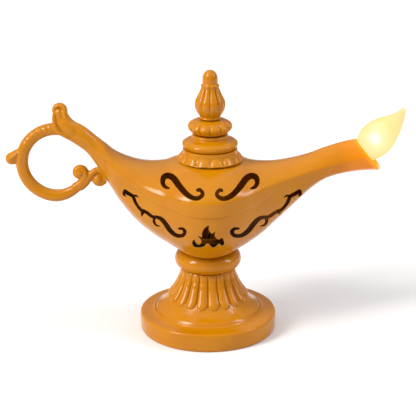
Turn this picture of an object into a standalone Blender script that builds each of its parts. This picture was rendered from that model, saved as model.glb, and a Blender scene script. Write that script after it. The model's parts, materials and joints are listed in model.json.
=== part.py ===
"""Table lamp in the shape of an old oil lamp, with an LED flame on its spout.

The hollow body is two half shells, front and back. They close round the handle's tenon, the
collar under the lid and the spigot of the pedestal. The batteries, the switch and the board
are in the foot. Metres, +Z up, +X towards the spout, -Y towards the viewer.
"""

import math

import bmesh
import bpy
from mathutils import Matrix, Vector

MM = 0.001

# Walls and clearances
WALL = 1.8 * MM
GAP = 0.3 * MM

# Foot and pedestal
FOOT_R = 34.5 * MM
FOOT_H = 9.4 * MM
FOOT_EDGE = 0.8 * MM
FOOT_RIM = 3.0 * MM
TIER_R = 26.6 * MM
NECK_R = 13.2 * MM
NECK_Z = 32.5 * MM
REED_COUNT = 20
REED_R = 1.9 * MM
SPIGOT_R = 9.0 * MM
SPIGOT_RISE = 8.0 * MM

# Ring on the stem and the flat seat under the bowl
RING_R = 16.8 * MM
BOWL_SEAT_Z = 42.0 * MM
NUT_R = 12.0 * MM
NUT_H = 3.4 * MM

# Bowl: half depth, and the heights of its raised band, top and bottom on the axis
BOWL_HALF_DEPTH = 35.0 * MM
BAND_Z = 76.8 * MM
BAND_H = 6.7 * MM
BAND_STEP = 1.0 * MM
BAND_REACH = 47.0 * MM
BOWL_TOP_Z = 90.3 * MM
BOWL_BOTTOM_Z = 38.8 * MM

# Body sections away from the axis, in mm: x, half depth, band height, top, bottom
NECK_SECTIONS = (
    (-59.2, 4.4, 98.4, 104.7, 92.0), (-55.3, 5.0, 93.9, 101.3, 86.4), (-50.3, 7.4, 91.7, 97.0, 78.5),
    (-47.4, 9.8, 88.8, 94.1, 73.7), (-44.4, 11.8, 86.2, 92.0, 68.7), (-38.5, 15.0, 83.1, 89.1, 60.7),
    (-32.6, 18.2, 80.3, 86.8, 54.7), (-26.6, 21.5, 78.5, 85.5, 50.1), (-20.7, 25.0, 77.5, 86.0, 46.6),
    (-15.8, 28.8, 77.3, 88.7, 43.9), (-7.9, 33.5, 76.7, 90.1, 40.1),
)
SPOUT_SECTIONS = (
    (7.9, 33.4, 76.7, 90.1, 40.2), (15.8, 28.6, 77.4, 88.7, 44.0), (20.7, 24.7, 77.8, 86.0, 46.7),
    (26.6, 20.0, 79.4, 85.5, 50.5), (32.6, 16.1, 81.1, 86.1, 56.0), (38.5, 13.6, 82.9, 87.6, 61.6),
    (44.4, 12.3, 84.4, 89.5, 67.4), (50.3, 11.0, 85.8, 91.9, 73.4), (56.3, 9.8, 87.5, 94.6, 78.2),
    (62.2, 8.9, 88.9, 96.8, 80.8), (68.1, 8.6, 90.3, 98.5, 82.2), (74, 8.6, 91.7, 99.6, 83.1),
    (79.9, 8.6, 92.5, 100.5, 83.5), (88.8, 8.6, 93.3, 101.7, 84.1),
)
NECK_END_X = -50.3 * MM
TENON_LENGTH = 9.6 * MM

# Mouth of the spout: its centre, and how far its opening faces up
MOUTH_X = 78.5 * MM
MOUTH_Z = 91.5 * MM
MOUTH_TILT = math.radians(40)
PLUG_DEPTH = 1.2 * MM
PLUG_T = 2.0 * MM

# Flame: its foot stands on the plug, its axis leans out
FLAME_FOOT_RISE = 1.0 * MM
FLAME_TILT = math.radians(49.5)
FLAME_LENGTH = 29.6 * MM
FLAME_R = 8.5 * MM
FLAME_POINT = 0.03
LED_R = 2.5 * MM
LED_LENGTH = 8.0 * MM
LED_FOOT = -3.6 * MM
LED_LEAD_END = -6.5 * MM
LED_LEAD_R = 0.25 * MM
LED_LEAD_PITCH = 2.54 * MM

# Collar, lid and finial, whose axis stands a little nearer to the spout than the foot's
LID_X = 1.0 * MM
SKIRT_R = 16.3 * MM
SKIRT_Z = 89.3 * MM
COLLAR_TOP_Z = 95.0 * MM
CUP_R = 9.6 * MM
CUP_FLOOR_Z = 86.8 * MM
LID_R = 13.6 * MM
LID_TOP_Z = 102.1 * MM
BEAD_R = 10.8 * MM
BEAD_H = 7.4 * MM
BEAD_LOBES = 12
BALUSTER_R = 7.5 * MM
FINIAL_TOP_Z = 134.2 * MM
FINIAL_LOBES = 10
LID_SCREW_R = 1.4 * MM
LID_SCREW_REACH = 7.0 * MM
LID_SCREW_HEAD_R = 3.0 * MM
LID_WALL = 1.5 * MM
LID_TOP_T = 3.0 * MM

# Handle: ring, knob, upward curl and two scrolls
LOOP_X = -74.6 * MM
LOOP_Z = 87.5 * MM
LOOP_R = 17.3 * MM
LOOP_BAR_R = 3.1 * MM
KNOB_REACH = 8.3 * MM
KNOB_R = 3.8 * MM

# Screws that close the shells, in mm: x and z
SHELL_SCREWS = ((-44.7, 82.5), (-32.2, 75.0), (32.4, 75.6), (58.6, 87.6))
BOSS_R = 3.0 * MM
SCREW_R = 1.2 * MM
SCREW_HEAD_R = 2.3 * MM
SCREW_HEAD_H = 1.3 * MM
PILOT_DEPTH = 5.5 * MM
HEAD_SEAT_Y = 2.4 * MM

# Battery base
COVER_Z = 1.0 * MM
COVER_T = 1.8 * MM
DOOR_T = 1.5 * MM
DOOR_EAR = 6.4 * MM
TAB_LOW_Y = 4.1 * MM
TAB_T = 0.8 * MM
TAB_REACH = 1.1 * MM
TAB_ROOT = 1.0 * MM
DOOR_SCREW_R = 1.0 * MM
DOOR_SCREW_TIP_Z = 4.4 * MM
CELL_R = 5.8 * MM
CELL_T = 5.2 * MM
CELL_COUNT = 3
SPRING_LENGTH = 2.7 * MM
SPRING_R = 2.8 * MM
SPRING_WIRE_R = 0.3 * MM
SPRING_TURNS = 3
PLATE_T = 0.4 * MM
PLATE_HALF = 3.4 * MM
TAIL_W = 2.0 * MM
TAIL_Y = 4.0 * MM
TAIL_RISE = 1.2 * MM
TRAY_X = 3.0 * MM
TRAY_WALL = 1.2 * MM
BASE_SCREW_R = FOOT_R - FOOT_RIM - 5.0 * MM
BASE_SCREW_TIP_Z = 6.6 * MM
SINK_DEPTH = 0.8 * MM
FLAT_HEAD_H = 0.9 * MM
BOARD_Z = 7.0 * MM
BOARD_T = 1.0 * MM
BOARD_LEFT = 5.2 * MM
BOARD_RIGHT = 6.6 * MM
BOARD_HALF = 6.0 * MM
BOARD_POST_R = 1.1 * MM
BOARD_POSTS = ((-4.2, -5.2), (-4.2, 5.2), (5.4, -5.2), (5.4, 5.2))
CHIP_SIZE = (3.8 * MM, 3.0 * MM, 1.2 * MM)
RESISTOR_R = 0.9 * MM
RESISTOR_LENGTH = 4.8 * MM
SWITCH_X = -18.0 * MM
SWITCH_TRAVEL = 2.0 * MM
SWITCH_LENGTH = 8.4 * MM
SWITCH_W = 4.8 * MM
SLIDER_W = 1.8 * MM
SLIDER_D = 1.5 * MM
SLIDER_FLANGE = 0.6 * MM
SLIDER_FLANGE_T = 0.8 * MM
SLIDER_PROUD = 0.6 * MM
WIRE_R = 0.6 * MM

# Pierced ornament, drawn in mm on a plane tilted back about X, cut square to that plane
DRAWING_TILT = math.radians(19)
ENGRAVING_DEPTH = 0.5 * MM
DRAWING_SCALE = 0.955
DRAWING_RISE = 3.1 * MM
SCROLL = ((-19.2, 69.4), (-22.3, 71.2), (-23.2, 74.2), (-21.0, 76.4), (-18.4, 75.9), (-15.3, 72.9),
          (-12.2, 68.8), (-9.1, 65.8), (-6.1, 64.2), (-3.1, 65.6), (-2.7, 67.8), (-4.7, 69.0))
SCROLL_WIDTHS = (1.5, 1.6, 1.8, 2.2, 2.6, 3.0, 3.0, 2.6, 2.2, 1.8, 1.6, 1.4)
VINE = ((-42.4, 68.3), (-38.8, 65.6), (-36.7, 62.2), (-33.6, 58.7), (-30.0, 57.0), (-27.4, 55.1),
        (-25.4, 55.2), (-22.9, 54.0), (-20.3, 50.4), (-17.8, 47.3), (-14.7, 45.6), (-12.2, 45.9),
        (-11.3, 47.8), (-12.7, 49.6))
VINE_WIDTHS = (1.8, 2.0, 1.8, 1.8, 1.9, 1.9, 1.9, 2.0, 2.1, 2.1, 1.9, 1.7, 1.5, 1.5)
VINE_BARBS = (((-38.8, 65.6), (-34.9, 65.2)), ((-33.6, 58.7), (-33.1, 56.0)),
              ((-27.4, 55.1), (-26.9, 53.4), (-26.2, 50.9), (-24.2, 50.5)))
BARB_WIDTH = 1.5
FLAME_FIGURE = ((-7.4, 40.6), (-6.9, 43.7), (-4.7, 45.4), (-3.9, 43.6), (-2.0, 46.2), (0.1, 50.8),
                (1.3, 47.9), (2.0, 46.6), (3.4, 47.6), (4.2, 45.0), (6.7, 44.6), (7.6, 41.2),
                (4.6, 40.2), (0.4, 39.9), (-3.6, 40.0))

# Facets
TURN_STEPS = 28
SMALL_STEPS = 16
QUARTER_STEPS = 6
SECTION_X = (-51, -48, -44, -39, -33, -27, -21, -15, -8, 0, 8, 15, 21, 27, 33, 39, 45, 52, 60, 68,
             77, 90)


# Scene set-up

def clear_scene():
    for item in list(bpy.data.objects):
        bpy.data.objects.remove(item, do_unlink=True)


def new_collection(name):
    group = bpy.data.collections.new(name)
    bpy.context.scene.collection.children.link(group)
    return group


def new_material(name, colour, roughness, metallic=0.0, glow=0.0):
    material = bpy.data.materials.new(name)
    material.use_nodes = True
    shader = material.node_tree.nodes["Principled BSDF"]
    shader.inputs["Base Color"].default_value = (*colour, 1.0)
    shader.inputs["Roughness"].default_value = roughness
    shader.inputs["Metallic"].default_value = metallic
    if glow:
        shader.inputs["Emission Color"].default_value = (*colour, 1.0)
        shader.inputs["Emission Strength"].default_value = glow
    return material


clear_scene()
PARTS = new_collection("led_genie_lamp")
CUTTERS = new_collection("cutters")

GOLD = new_material("gold_plastic", (0.72, 0.30, 0.035), 0.32)
GLOW = new_material("flame_lens", (1.0, 0.84, 0.32), 0.35, glow=1.5)
CLEAR = new_material("led_clear", (0.95, 0.9, 0.75), 0.15, glow=3.0)
BLACK = new_material("black_plastic", (0.02, 0.02, 0.022), 0.45)
STEEL = new_material("steel", (0.6, 0.6, 0.62), 0.3, metallic=1.0)
BOARD = new_material("green_board", (0.02, 0.16, 0.06), 0.5)
RED_WIRE = new_material("red_wire", (0.55, 0.02, 0.02), 0.5)
TAN = new_material("resistor_tan", (0.6, 0.42, 0.25), 0.5)


# Small tools

def mm(points):
    return [Vector(point) * MM for point in points]


def finish_mesh(name, bm, material, group):
    bmesh.ops.recalc_face_normals(bm, faces=bm.faces)
    mesh = bpy.data.meshes.new(name)
    bm.to_mesh(mesh)
    bm.free()
    mesh.shade_smooth()
    mesh.set_sharp_from_angle(angle=math.radians(32))
    if material:
        mesh.materials.append(material)
    made = bpy.data.objects.new(name, mesh)
    group.objects.link(made)
    return made


def place(made, location, rotation=(0, 0, 0)):
    made.location = location
    made.rotation_euler = rotation
    return made


def as_cutter(made):
    made.hide_render = True
    made.display_type = "WIRE"
    return made


def box(name, size, centre, material=None, group=None):
    bm = bmesh.new()
    bmesh.ops.create_cube(bm, size=1.0)
    bmesh.ops.scale(bm, vec=size, verts=bm.verts)
    return place(finish_mesh(name, bm, material, group or CUTTERS), centre)


def box_between(name, low, high, material=None, group=None):
    low, high = Vector(low), Vector(high)
    return box(name, high - low, (low + high) / 2, material, group)


def cylinder(name, radius, low, high, material=None, group=None, steps=SMALL_STEPS):
    """A round bar from the point low to the point high."""
    low, high = Vector(low), Vector(high)
    bm = bmesh.new()
    bmesh.ops.create_cone(bm, cap_ends=True, segments=steps, radius1=radius, radius2=radius,
                          depth=(high - low).length)
    turn = (high - low).to_track_quat("Z", "Y").to_matrix().to_4x4()
    bmesh.ops.transform(bm, matrix=turn, verts=bm.verts)
    return place(finish_mesh(name, bm, material, group or CUTTERS), (low + high) / 2)


def turned(name, profile, material, group=None, steps=TURN_STEPS, closed=False):
    """A turned shape from (radius, z) points that run down the outer side."""
    mesh = bpy.data.meshes.new(name)
    edges = [(i, i + 1) for i in range(len(profile) - 1)]
    if closed:
        edges.append((len(profile) - 1, 0))
    mesh.from_pydata([(r, 0, z) for r, z in profile], edges, [])
    if material:
        mesh.materials.append(material)
    made = bpy.data.objects.new(name, mesh)
    (group or PARTS).objects.link(made)
    spin = made.modifiers.new("turn", "SCREW")
    spin.steps = steps
    spin.render_steps = steps
    spin.use_merge_vertices = True
    spin.merge_threshold = 0.00001
    spin.use_smooth_shade = True
    return made


def lofted(name, rings, material=None, group=None):
    """A closed skin over rings that have the same number of points."""
    bm = bmesh.new()
    loops = [[bm.verts.new(point) for point in ring] for ring in rings]
    count = len(rings[0])
    for first, second in zip(loops, loops[1:]):
        for i in range(count):
            j = (i + 1) % count
            bm.faces.new((first[i], first[j], second[j], second[i]))
    bm.faces.new(loops[0])
    bm.faces.new(loops[-1])
    return finish_mesh(name, bm, material, group or CUTTERS)


def tube(name, points, radii, material=None, group=None, resolution=2):
    """A bar of changing radius along points, as a mesh with welded caps."""
    curve = bpy.data.curves.new(name, "CURVE")
    curve.dimensions = "3D"
    curve.bevel_depth = 1.0
    curve.bevel_resolution = resolution
    curve.use_fill_caps = True
    spline = curve.splines.new("POLY")
    spline.points.add(len(points) - 1)
    for knot, point, radius in zip(spline.points, points, radii):
        knot.co = (*point, 1.0)
        knot.radius = radius
    guide = bpy.data.objects.new(name + "_path", curve)
    CUTTERS.objects.link(guide)
    bpy.context.view_layer.update()
    evaluated = guide.evaluated_get(bpy.context.evaluated_depsgraph_get())
    bm = bmesh.new()
    bm.from_mesh(bpy.data.meshes.new_from_object(evaluated))
    bpy.data.objects.remove(guide)
    bmesh.ops.remove_doubles(bm, verts=bm.verts, dist=0.000001)
    return finish_mesh(name, bm, material, group or CUTTERS)


def combine(made, others, operation):
    """One exact Boolean step of a piece with a group of other shapes."""
    group = bpy.data.collections.new(f"{made.name}_{operation.lower()}")
    CUTTERS.children.link(group)
    for other in others:
        as_cutter(other)
        group.objects.link(other)
    step = made.modifiers.new(group.name, "BOOLEAN")
    step.operation = operation
    step.solver = "EXACT"
    step.operand_type = "COLLECTION"
    step.collection = group
    return made


def cut(made, *others):
    return combine(made, others, "DIFFERENCE")


def join(made, *others):
    return combine(made, others, "UNION")


def smooth_points(points, per_span):
    """Points of a smooth curve through the given ones."""
    points = [Vector(point) for point in points]
    padded = [points[0] * 2 - points[1]] + points + [points[-1] * 2 - points[-2]]
    result = []
    for a, b, c, d in zip(padded, padded[1:], padded[2:], padded[3:]):
        for step in range(per_span):
            t = step / per_span
            result.append(0.5 * (2 * b + (c - a) * t + (2 * a - 5 * b + 4 * c - d) * t * t
                                 + (3 * b - a - 3 * c + d) * t ** 3))
    result.append(points[-1])
    return result


def smooth_values(values, per_span):
    return [point[0] for point in smooth_points([(value, 0, 0) for value in values], per_span)]


# Body form, shared by the shells, the handle's tenon and the mouth plug

def body_table():
    centre = (0.0, BOWL_HALF_DEPTH, BAND_Z, BOWL_TOP_Z, BOWL_BOTTOM_Z)
    rows = [tuple(value * MM for value in row) for row in NECK_SECTIONS]
    rows.append(centre)
    rows.extend(tuple(value * MM for value in row) for row in SPOUT_SECTIONS)
    return rows


BODY_TABLE = body_table()


def slope(i, column):
    before = BODY_TABLE[max(i - 1, 0)]
    after = BODY_TABLE[min(i + 1, len(BODY_TABLE) - 1)]
    return (after[column] - before[column]) / (after[0] - before[0])


def body_size(x, column):
    """A column of the body table at x, on a smooth curve through its rows."""
    for i in range(len(BODY_TABLE) - 1):
        x0, x1 = BODY_TABLE[i][0], BODY_TABLE[i + 1][0]
        if x <= x1 or i == len(BODY_TABLE) - 2:
            break
    span = x1 - x0
    t = min(max((x - x0) / span, 0.0), 1.0)
    start, end = BODY_TABLE[i][column], BODY_TABLE[i + 1][column]
    rise = slope(i, column) * span
    fall = slope(i + 1, column) * span
    return ((2 * t ** 3 - 3 * t ** 2 + 1) * start + (t ** 3 - 2 * t ** 2 + t) * rise
            + (3 * t ** 2 - 2 * t ** 3) * end + (t ** 3 - t ** 2) * fall)


def body_ring(x, inset=0.0, band=True):
    """The body's outline at x, drawn in by inset, as points round it from the top."""
    half, side, top, bottom = (body_size(x, column) for column in (1, 2, 3, 4))
    half, top, bottom = half - inset, top - inset, bottom + inset
    floor = BOWL_SEAT_Z + inset
    fade = max(1.0 - (x / BAND_REACH) ** 2, 0.0)
    drop = max(BAND_H * fade, 0.4 * MM)
    step = max(BAND_STEP * fade, 0.05 * MM) if band else 0.0
    outline = []
    for i in range(QUARTER_STEPS):
        angle = math.radians(90 * i / (QUARTER_STEPS - 1))
        outline.append((half * math.sin(angle), side + (top - side) * math.cos(angle)))
    if band:
        outline.append((half - 0.4 * step, side - drop))
    for i in range(QUARTER_STEPS + 1):
        angle = math.radians(90 * i / QUARTER_STEPS)
        z = side - drop - step * 0.4 - (side - drop - step * 0.4 - bottom) * math.sin(angle)
        outline.append(((half - step) * math.cos(angle), z))
    right = [(x, y, max(z, floor)) for y, z in outline]
    right[-1] = (x, 0.0, right[-1][2])
    left = [(x, -y, z) for x, y, z in right[-2:0:-1]]
    return right + left


def body_solid(name, inset=0.0, first=None, last=None, band=True):
    stations = [x * MM for x in SECTION_X]
    if first is not None:
        stations = [first] + [x for x in stations if x > first]
    if last is not None:
        stations = [x for x in stations if x < last] + [last]
    return lofted(name, [body_ring(x, inset, band) for x in stations])


def mouth_frame(rise):
    """Place of something square to the mouth, rise above its opening."""
    direction = Vector((math.cos(MOUTH_TILT), 0, math.sin(MOUTH_TILT)))
    return Vector((MOUTH_X, 0, MOUTH_Z)) + direction * rise, (0, -MOUTH_TILT, 0)


def mouth_slab(name, low, high):
    """A wide plate square to the mouth, from low to high above its opening."""
    reach = 60 * MM
    slab = box(name, (high - low, reach, reach), (0, 0, 0))
    place(slab, *mouth_frame((low + high) / 2))
    return slab


FLAME_AXIS = Vector((math.cos(FLAME_TILT), 0, math.sin(FLAME_TILT)))
FLAME_SIDE = Vector((-math.sin(FLAME_TILT), 0, math.cos(FLAME_TILT)))
FLAME_FOOT = Vector((MOUTH_X, 0, MOUTH_Z)) + FLAME_SIDE * FLAME_FOOT_RISE
FLAME_TIP = FLAME_FOOT + FLAME_AXIS * FLAME_LENGTH


# Ornament cutters

def on_drawing(u, v, depth):
    """World place of a point of the drawing plane, at a depth along the cut."""
    cos, sin = math.cos(DRAWING_TILT), math.sin(DRAWING_TILT)
    u, v = u * DRAWING_SCALE, v * DRAWING_SCALE + DRAWING_RISE
    return Vector((u, v * sin + depth * cos, v * cos - depth * sin))


def drawn_cutter(name, outline, side, mirrored):
    """A prism over an outline of the drawing plane, for the front (1) or the back (-1)."""
    near, far = -95 * MM, -25 * MM
    flip = -1 if mirrored else 1
    rings = []
    for depth in (near, far):
        ring = [on_drawing(flip * u * MM, v * MM, depth) for u, v in outline]
        rings.append([(x, side * y, z) for x, y, z in ring])
    return lofted(name, rings)


def ribbon(points, widths, per_span):
    """Outline of a band of changing width along a smooth centreline, with pointed ends."""
    line = smooth_points([(u, v, 0) for u, v in points], per_span)
    breadths = smooth_values(widths, per_span)
    left, right = [], []
    for i, (point, breadth) in enumerate(zip(line, breadths)):
        ahead = line[min(i + 1, len(line) - 1)] - line[max(i - 1, 0)]
        normal = Vector((-ahead.y, ahead.x, 0)).normalized() * breadth / 2
        left.append((point.x + normal.x, point.y + normal.y))
        right.append((point.x - normal.x, point.y - normal.y))
    start = line[0] + (line[0] - line[1]).normalized() * widths[0] / 2
    end = line[-1] + (line[-1] - line[-2]).normalized() * widths[-1] / 2
    return left + [(end.x, end.y)] + right[::-1] + [(start.x, start.y)]


def vine_cutters(name, side, mirrored):
    cutters = [drawn_cutter(name, ribbon(VINE, VINE_WIDTHS, 1), side, mirrored)]
    for number, barb in enumerate(VINE_BARBS, 1):
        outline = ribbon(barb, [BARB_WIDTH] * len(barb), 1)
        cutters.append(drawn_cutter(f"{name}_barb_{number}", outline, side, mirrored))
    return cutters


def engraved(label, cutters):
    """Cutters that stop inside the wall, so that they mark it and don't pierce it."""
    core = body_solid(f"{label}_core", inset=ENGRAVING_DEPTH)
    for cutter in cutters:
        cut(cutter, core)
    return cutters


def ornament(side, label):
    """The cutters of one side: two scrolls, two vines and the flame figure.

    The front (1) is pierced all over; on the back the vines and the figure are only engraved.
    """
    scrolls = []
    marks = [drawn_cutter(f"{label}_flame_figure", FLAME_FIGURE, side, False)]
    for mirrored, word in ((False, "left"), (True, "right")):
        scroll = ribbon(SCROLL, SCROLL_WIDTHS, 2)
        scrolls.append(drawn_cutter(f"{label}_scroll_{word}", scroll, side, mirrored))
        marks.extend(vine_cutters(f"{label}_vine_{word}", side, mirrored))
    return scrolls + (marks if side > 0 else engraved(label, marks))


# Body shells

def screw_places():
    return [(x * MM, z * MM) for x, z in SHELL_SCREWS]


def shell_void(label):
    """The hollow of the body, with the screw bosses left standing in it."""
    void = body_solid(f"{label}_void", inset=WALL, first=NECK_END_X - WALL, band=False)
    reach = 60 * MM
    bosses = [cylinder(f"{label}_boss_{number}", BOSS_R, (x, -reach, z), (x, reach, z))
              for number, (x, z) in enumerate(screw_places(), 1)]
    return cut(void, *bosses)


def make_shell(name, side):
    """One half of the body: side -1 is the front, 1 is the back."""
    shell = body_solid(name, first=NECK_END_X)
    CUTTERS.objects.unlink(shell)
    PARTS.objects.link(shell)
    shell.data.materials.append(GOLD)
    reach = 200 * MM
    half = GAP / 2
    low_y, high_y = sorted((side * half, -side * reach))
    cutters = [box_between(f"{name}_half", (-reach, low_y, -reach), (reach, high_y, reach)),
               mouth_slab(f"{name}_mouth", 0, 60 * MM), shell_void(name),
               cylinder(f"{name}_cup_hole", CUP_R + WALL + GAP, on_lid_axis(BAND_Z + WALL),
                        on_lid_axis(BOWL_TOP_Z + WALL), steps=TURN_STEPS),
               cylinder(f"{name}_stem_hole", SPIGOT_R + GAP, (0, 0, NECK_Z),
                        (0, 0, BOWL_SEAT_Z + 2 * WALL), steps=TURN_STEPS),
               cylinder(f"{name}_nut_face", NUT_R + GAP, (0, 0, BOWL_SEAT_Z + WALL),
                        (0, 0, BOWL_SEAT_Z + WALL + NUT_H), steps=TURN_STEPS)]
    cutters += ornament(-side, name)
    for number, (x, z) in enumerate(screw_places(), 1):
        if side < 0:
            cutters.append(cylinder(f"{name}_pilot_{number}", SCREW_R + GAP / 2,
                                    (x, -PILOT_DEPTH, z), (x, reach, z)))
        else:
            cutters.append(cylinder(f"{name}_clear_{number}", SCREW_R + GAP, (x, -half, z),
                                    (x, reach, z)))
            cutters.append(cylinder(f"{name}_sink_{number}", SCREW_HEAD_R + GAP,
                                    (x, HEAD_SEAT_Y, z), (x, reach, z)))
    return cut(shell, *cutters)


def make_shells():
    make_shell("shell_front", -1)
    make_shell("shell_back", 1)
    for number, (x, z) in enumerate(screw_places(), 1):
        head_y = HEAD_SEAT_Y + GAP
        make_screw(f"shell_screw_{number}", (x, head_y, z), (math.radians(-90), 0, 0),
                   head_y + PILOT_DEPTH - GAP)


def make_screw(name, seat, rotation, length, radius=SCREW_R, head_r=SCREW_HEAD_R,
               head_h=SCREW_HEAD_H):
    """A pan head screw: its head stands on the seat along +Z, its shank runs down."""
    profile = [(0, head_h), (head_r * 0.8, head_h), (head_r, head_h * 0.6), (head_r, 0),
               (radius, 0), (radius, -length + radius), (radius * 0.4, -length), (0, -length)]
    return place(turned(name, profile, STEEL, steps=10), seat, rotation)


# Handle

def arc_points(centre_x, centre_z, radius, start, end, count):
    points = []
    for i in range(count):
        angle = math.radians(start + (end - start) * i / (count - 1))
        points.append(Vector((centre_x + radius * math.cos(angle), 0,
                              centre_z + radius * math.sin(angle))))
    return points


def spiral_points(centre_x, centre_z, radius, inner, start, end, count):
    points = []
    for i in range(count):
        share = i / (count - 1)
        angle = math.radians(start + (end - start) * share)
        reach = radius + (inner - radius) * share
        points.append(Vector((centre_x + reach * math.cos(angle), 0,
                              centre_z + reach * math.sin(angle))))
    return points


def make_handle():
    root = NECK_END_X - GAP
    stations = [x * MM for x in (-60, -57.5, -55, -53)] + [root]
    handle = lofted("handle", [body_ring(x, band=False) for x in stations], GOLD, PARTS)
    arm = [(-57.6, 0, 96.6), (-60.6, 0, 99.7), (-64, 0, 102.8), (-67.4, 0, 105.9),
           (-70, 0, 109.2), (-71.8, 0, 112.3), (-72.8, 0, 114.9), (-73.3, 0, 116.4)]
    arm_radii = (4.2, 4.3, 4.4, 4.3, 4.3, 4.2, 3.0, 1.2)
    join(handle, tube("handle_arm", mm(arm), [r * MM for r in arm_radii]))
    loop = arc_points(LOOP_X, LOOP_Z, LOOP_R, 62, 300, 22)
    join(handle, tube("handle_loop", loop, [LOOP_BAR_R] * len(loop)))
    scroll = [(-66.6, 0, 72.2), (-62.7, 0, 74.5)]
    scroll = mm(scroll) + spiral_points(-62.8 * MM, 81.1 * MM, 4.1 * MM, 1.4 * MM, -60, 330, 13)
    radii = [LOOP_BAR_R * 0.9, LOOP_BAR_R * 0.8]
    radii += [LOOP_BAR_R * (0.75 - 0.2 * i / 12) for i in range(13)]
    join(handle, tube("handle_scroll", scroll, radii))
    curl = [(-62.7, 0, 74.5), (-59.2, 0, 75.2)]
    curl = mm(curl) + spiral_points(-55.3 * MM, 79.7 * MM, 3.1 * MM, 1.1 * MM, -100, 230, 11)
    radii = [LOOP_BAR_R * 0.7] * 2 + [LOOP_BAR_R * (0.6 - 0.1 * i / 10) for i in range(11)]
    join(handle, tube("handle_curl", curl, radii))
    bm = bmesh.new()
    bmesh.ops.create_uvsphere(bm, u_segments=16, v_segments=10, radius=1.0)
    bmesh.ops.scale(bm, vec=(KNOB_REACH * 0.68, KNOB_R, KNOB_R), verts=bm.verts)
    knob = finish_mesh("handle_knob", bm, None, CUTTERS)
    place(knob, (LOOP_X - LOOP_R - KNOB_REACH * 0.32, 0, LOOP_Z + 1.8 * MM))
    tenon = body_solid("handle_tenon", inset=WALL + GAP, first=root - WALL,
                       last=NECK_END_X + TENON_LENGTH, band=False)
    x, z = screw_places()[0]
    hole = cylinder("handle_screw_hole", BOSS_R + GAP, (x, -20 * MM, z), (x, 20 * MM, z))
    cut(join(handle, knob, tenon), hole)
    return handle


# Pedestal, ring and nut

def make_pedestal():
    spigot_top = BOWL_SEAT_Z + SPIGOT_RISE
    inside = FOOT_R - FOOT_RIM
    bore = SPIGOT_R - WALL
    flare = [(13.0, 31.2), (13.3, 29.0), (14.3, 26.2), (15.8, 23.2), (17.9, 20.0), (20.4, 16.9),
             (23.0, 14.1), (25.4, 11.8)]
    profile = [(SPIGOT_R, spigot_top), (SPIGOT_R, NECK_Z), (NECK_R, NECK_Z)]
    profile += [(r * MM, z * MM) for r, z in flare]
    profile += [(TIER_R, FOOT_H + 1.4 * MM), (TIER_R + 0.6 * MM, FOOT_H),
                (FOOT_R - FOOT_EDGE, FOOT_H), (FOOT_R, FOOT_H - FOOT_EDGE), (FOOT_R, FOOT_EDGE),
                (FOOT_R - FOOT_EDGE, 0), (inside, 0), (inside, FOOT_H - WALL),
                (TIER_R - WALL * 0.8, FOOT_H - WALL)]
    profile += [(r * MM - WALL, z * MM - WALL * 0.6) for r, z in flare[:0:-1]]
    profile += [(bore, NECK_Z - WALL), (bore, spigot_top)]
    pedestal = turned("pedestal", profile, GOLD, closed=True)
    reeds = bmesh.new()
    path = mm([(13.0, 0, 32.6), (13.6, 0, 28.0), (16.1, 0, 22.7), (19.3, 0, 18.2), (20.6, 0, 16.7)])
    shares = (0.35, 0.65, 0.9, 0.95, 0.3)
    reed = tube("reed", path, [REED_R * share for share in shares], resolution=0)
    for number in range(REED_COUNT):
        turn = Matrix.Rotation(2 * math.pi * (number + 0.5) / REED_COUNT, 4, "Z")
        copy = reed.data.copy()
        copy.transform(turn)
        reeds.from_mesh(copy)
    bpy.data.objects.remove(reed)
    join(pedestal, finish_mesh("reeds", reeds, None, CUTTERS))
    for number, (x, y) in enumerate(base_screw_places(), 1):
        post = cylinder(f"cover_post_{number}", BOSS_R, (x, y, COVER_Z + COVER_T + GAP),
                        (x, y, FOOT_H - WALL / 2))
        join(pedestal, post)
        cut(pedestal, cylinder(f"cover_pilot_{number}", SCREW_R + GAP / 2, (x, y, 0),
                               (x, y, BASE_SCREW_TIP_Z + GAP)))


def base_screw_places():
    places = []
    for degrees in (90, 210, 330):
        angle = math.radians(degrees)
        places.append((BASE_SCREW_R * math.cos(angle), BASE_SCREW_R * math.sin(angle)))
    return places


def make_stem():
    low, high = NECK_Z + GAP, BOWL_SEAT_Z - GAP
    middle, thick = (low + high) / 2, (high - low) / 2
    profile = []
    for i in range(9):
        angle = math.radians(90 - 180 * i / 8)
        profile.append((RING_R - thick + thick * math.cos(angle), middle + thick * math.sin(angle)))
    profile += [(SPIGOT_R + GAP, low), (SPIGOT_R + GAP, high)]
    turned("stem_ring", profile, GOLD, closed=True)
    seat = BOWL_SEAT_Z + WALL + GAP
    profile = [(SPIGOT_R + GAP, seat + NUT_H), (NUT_R - 0.6 * MM, seat + NUT_H),
               (NUT_R, seat + NUT_H - 0.6 * MM), (NUT_R, seat), (SPIGOT_R + GAP, seat)]
    turned("stem_nut", profile, BLACK, steps=24, closed=True)


# Collar, lid and finial

def on_lid_axis(z):
    return (LID_X, 0, z)


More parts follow.
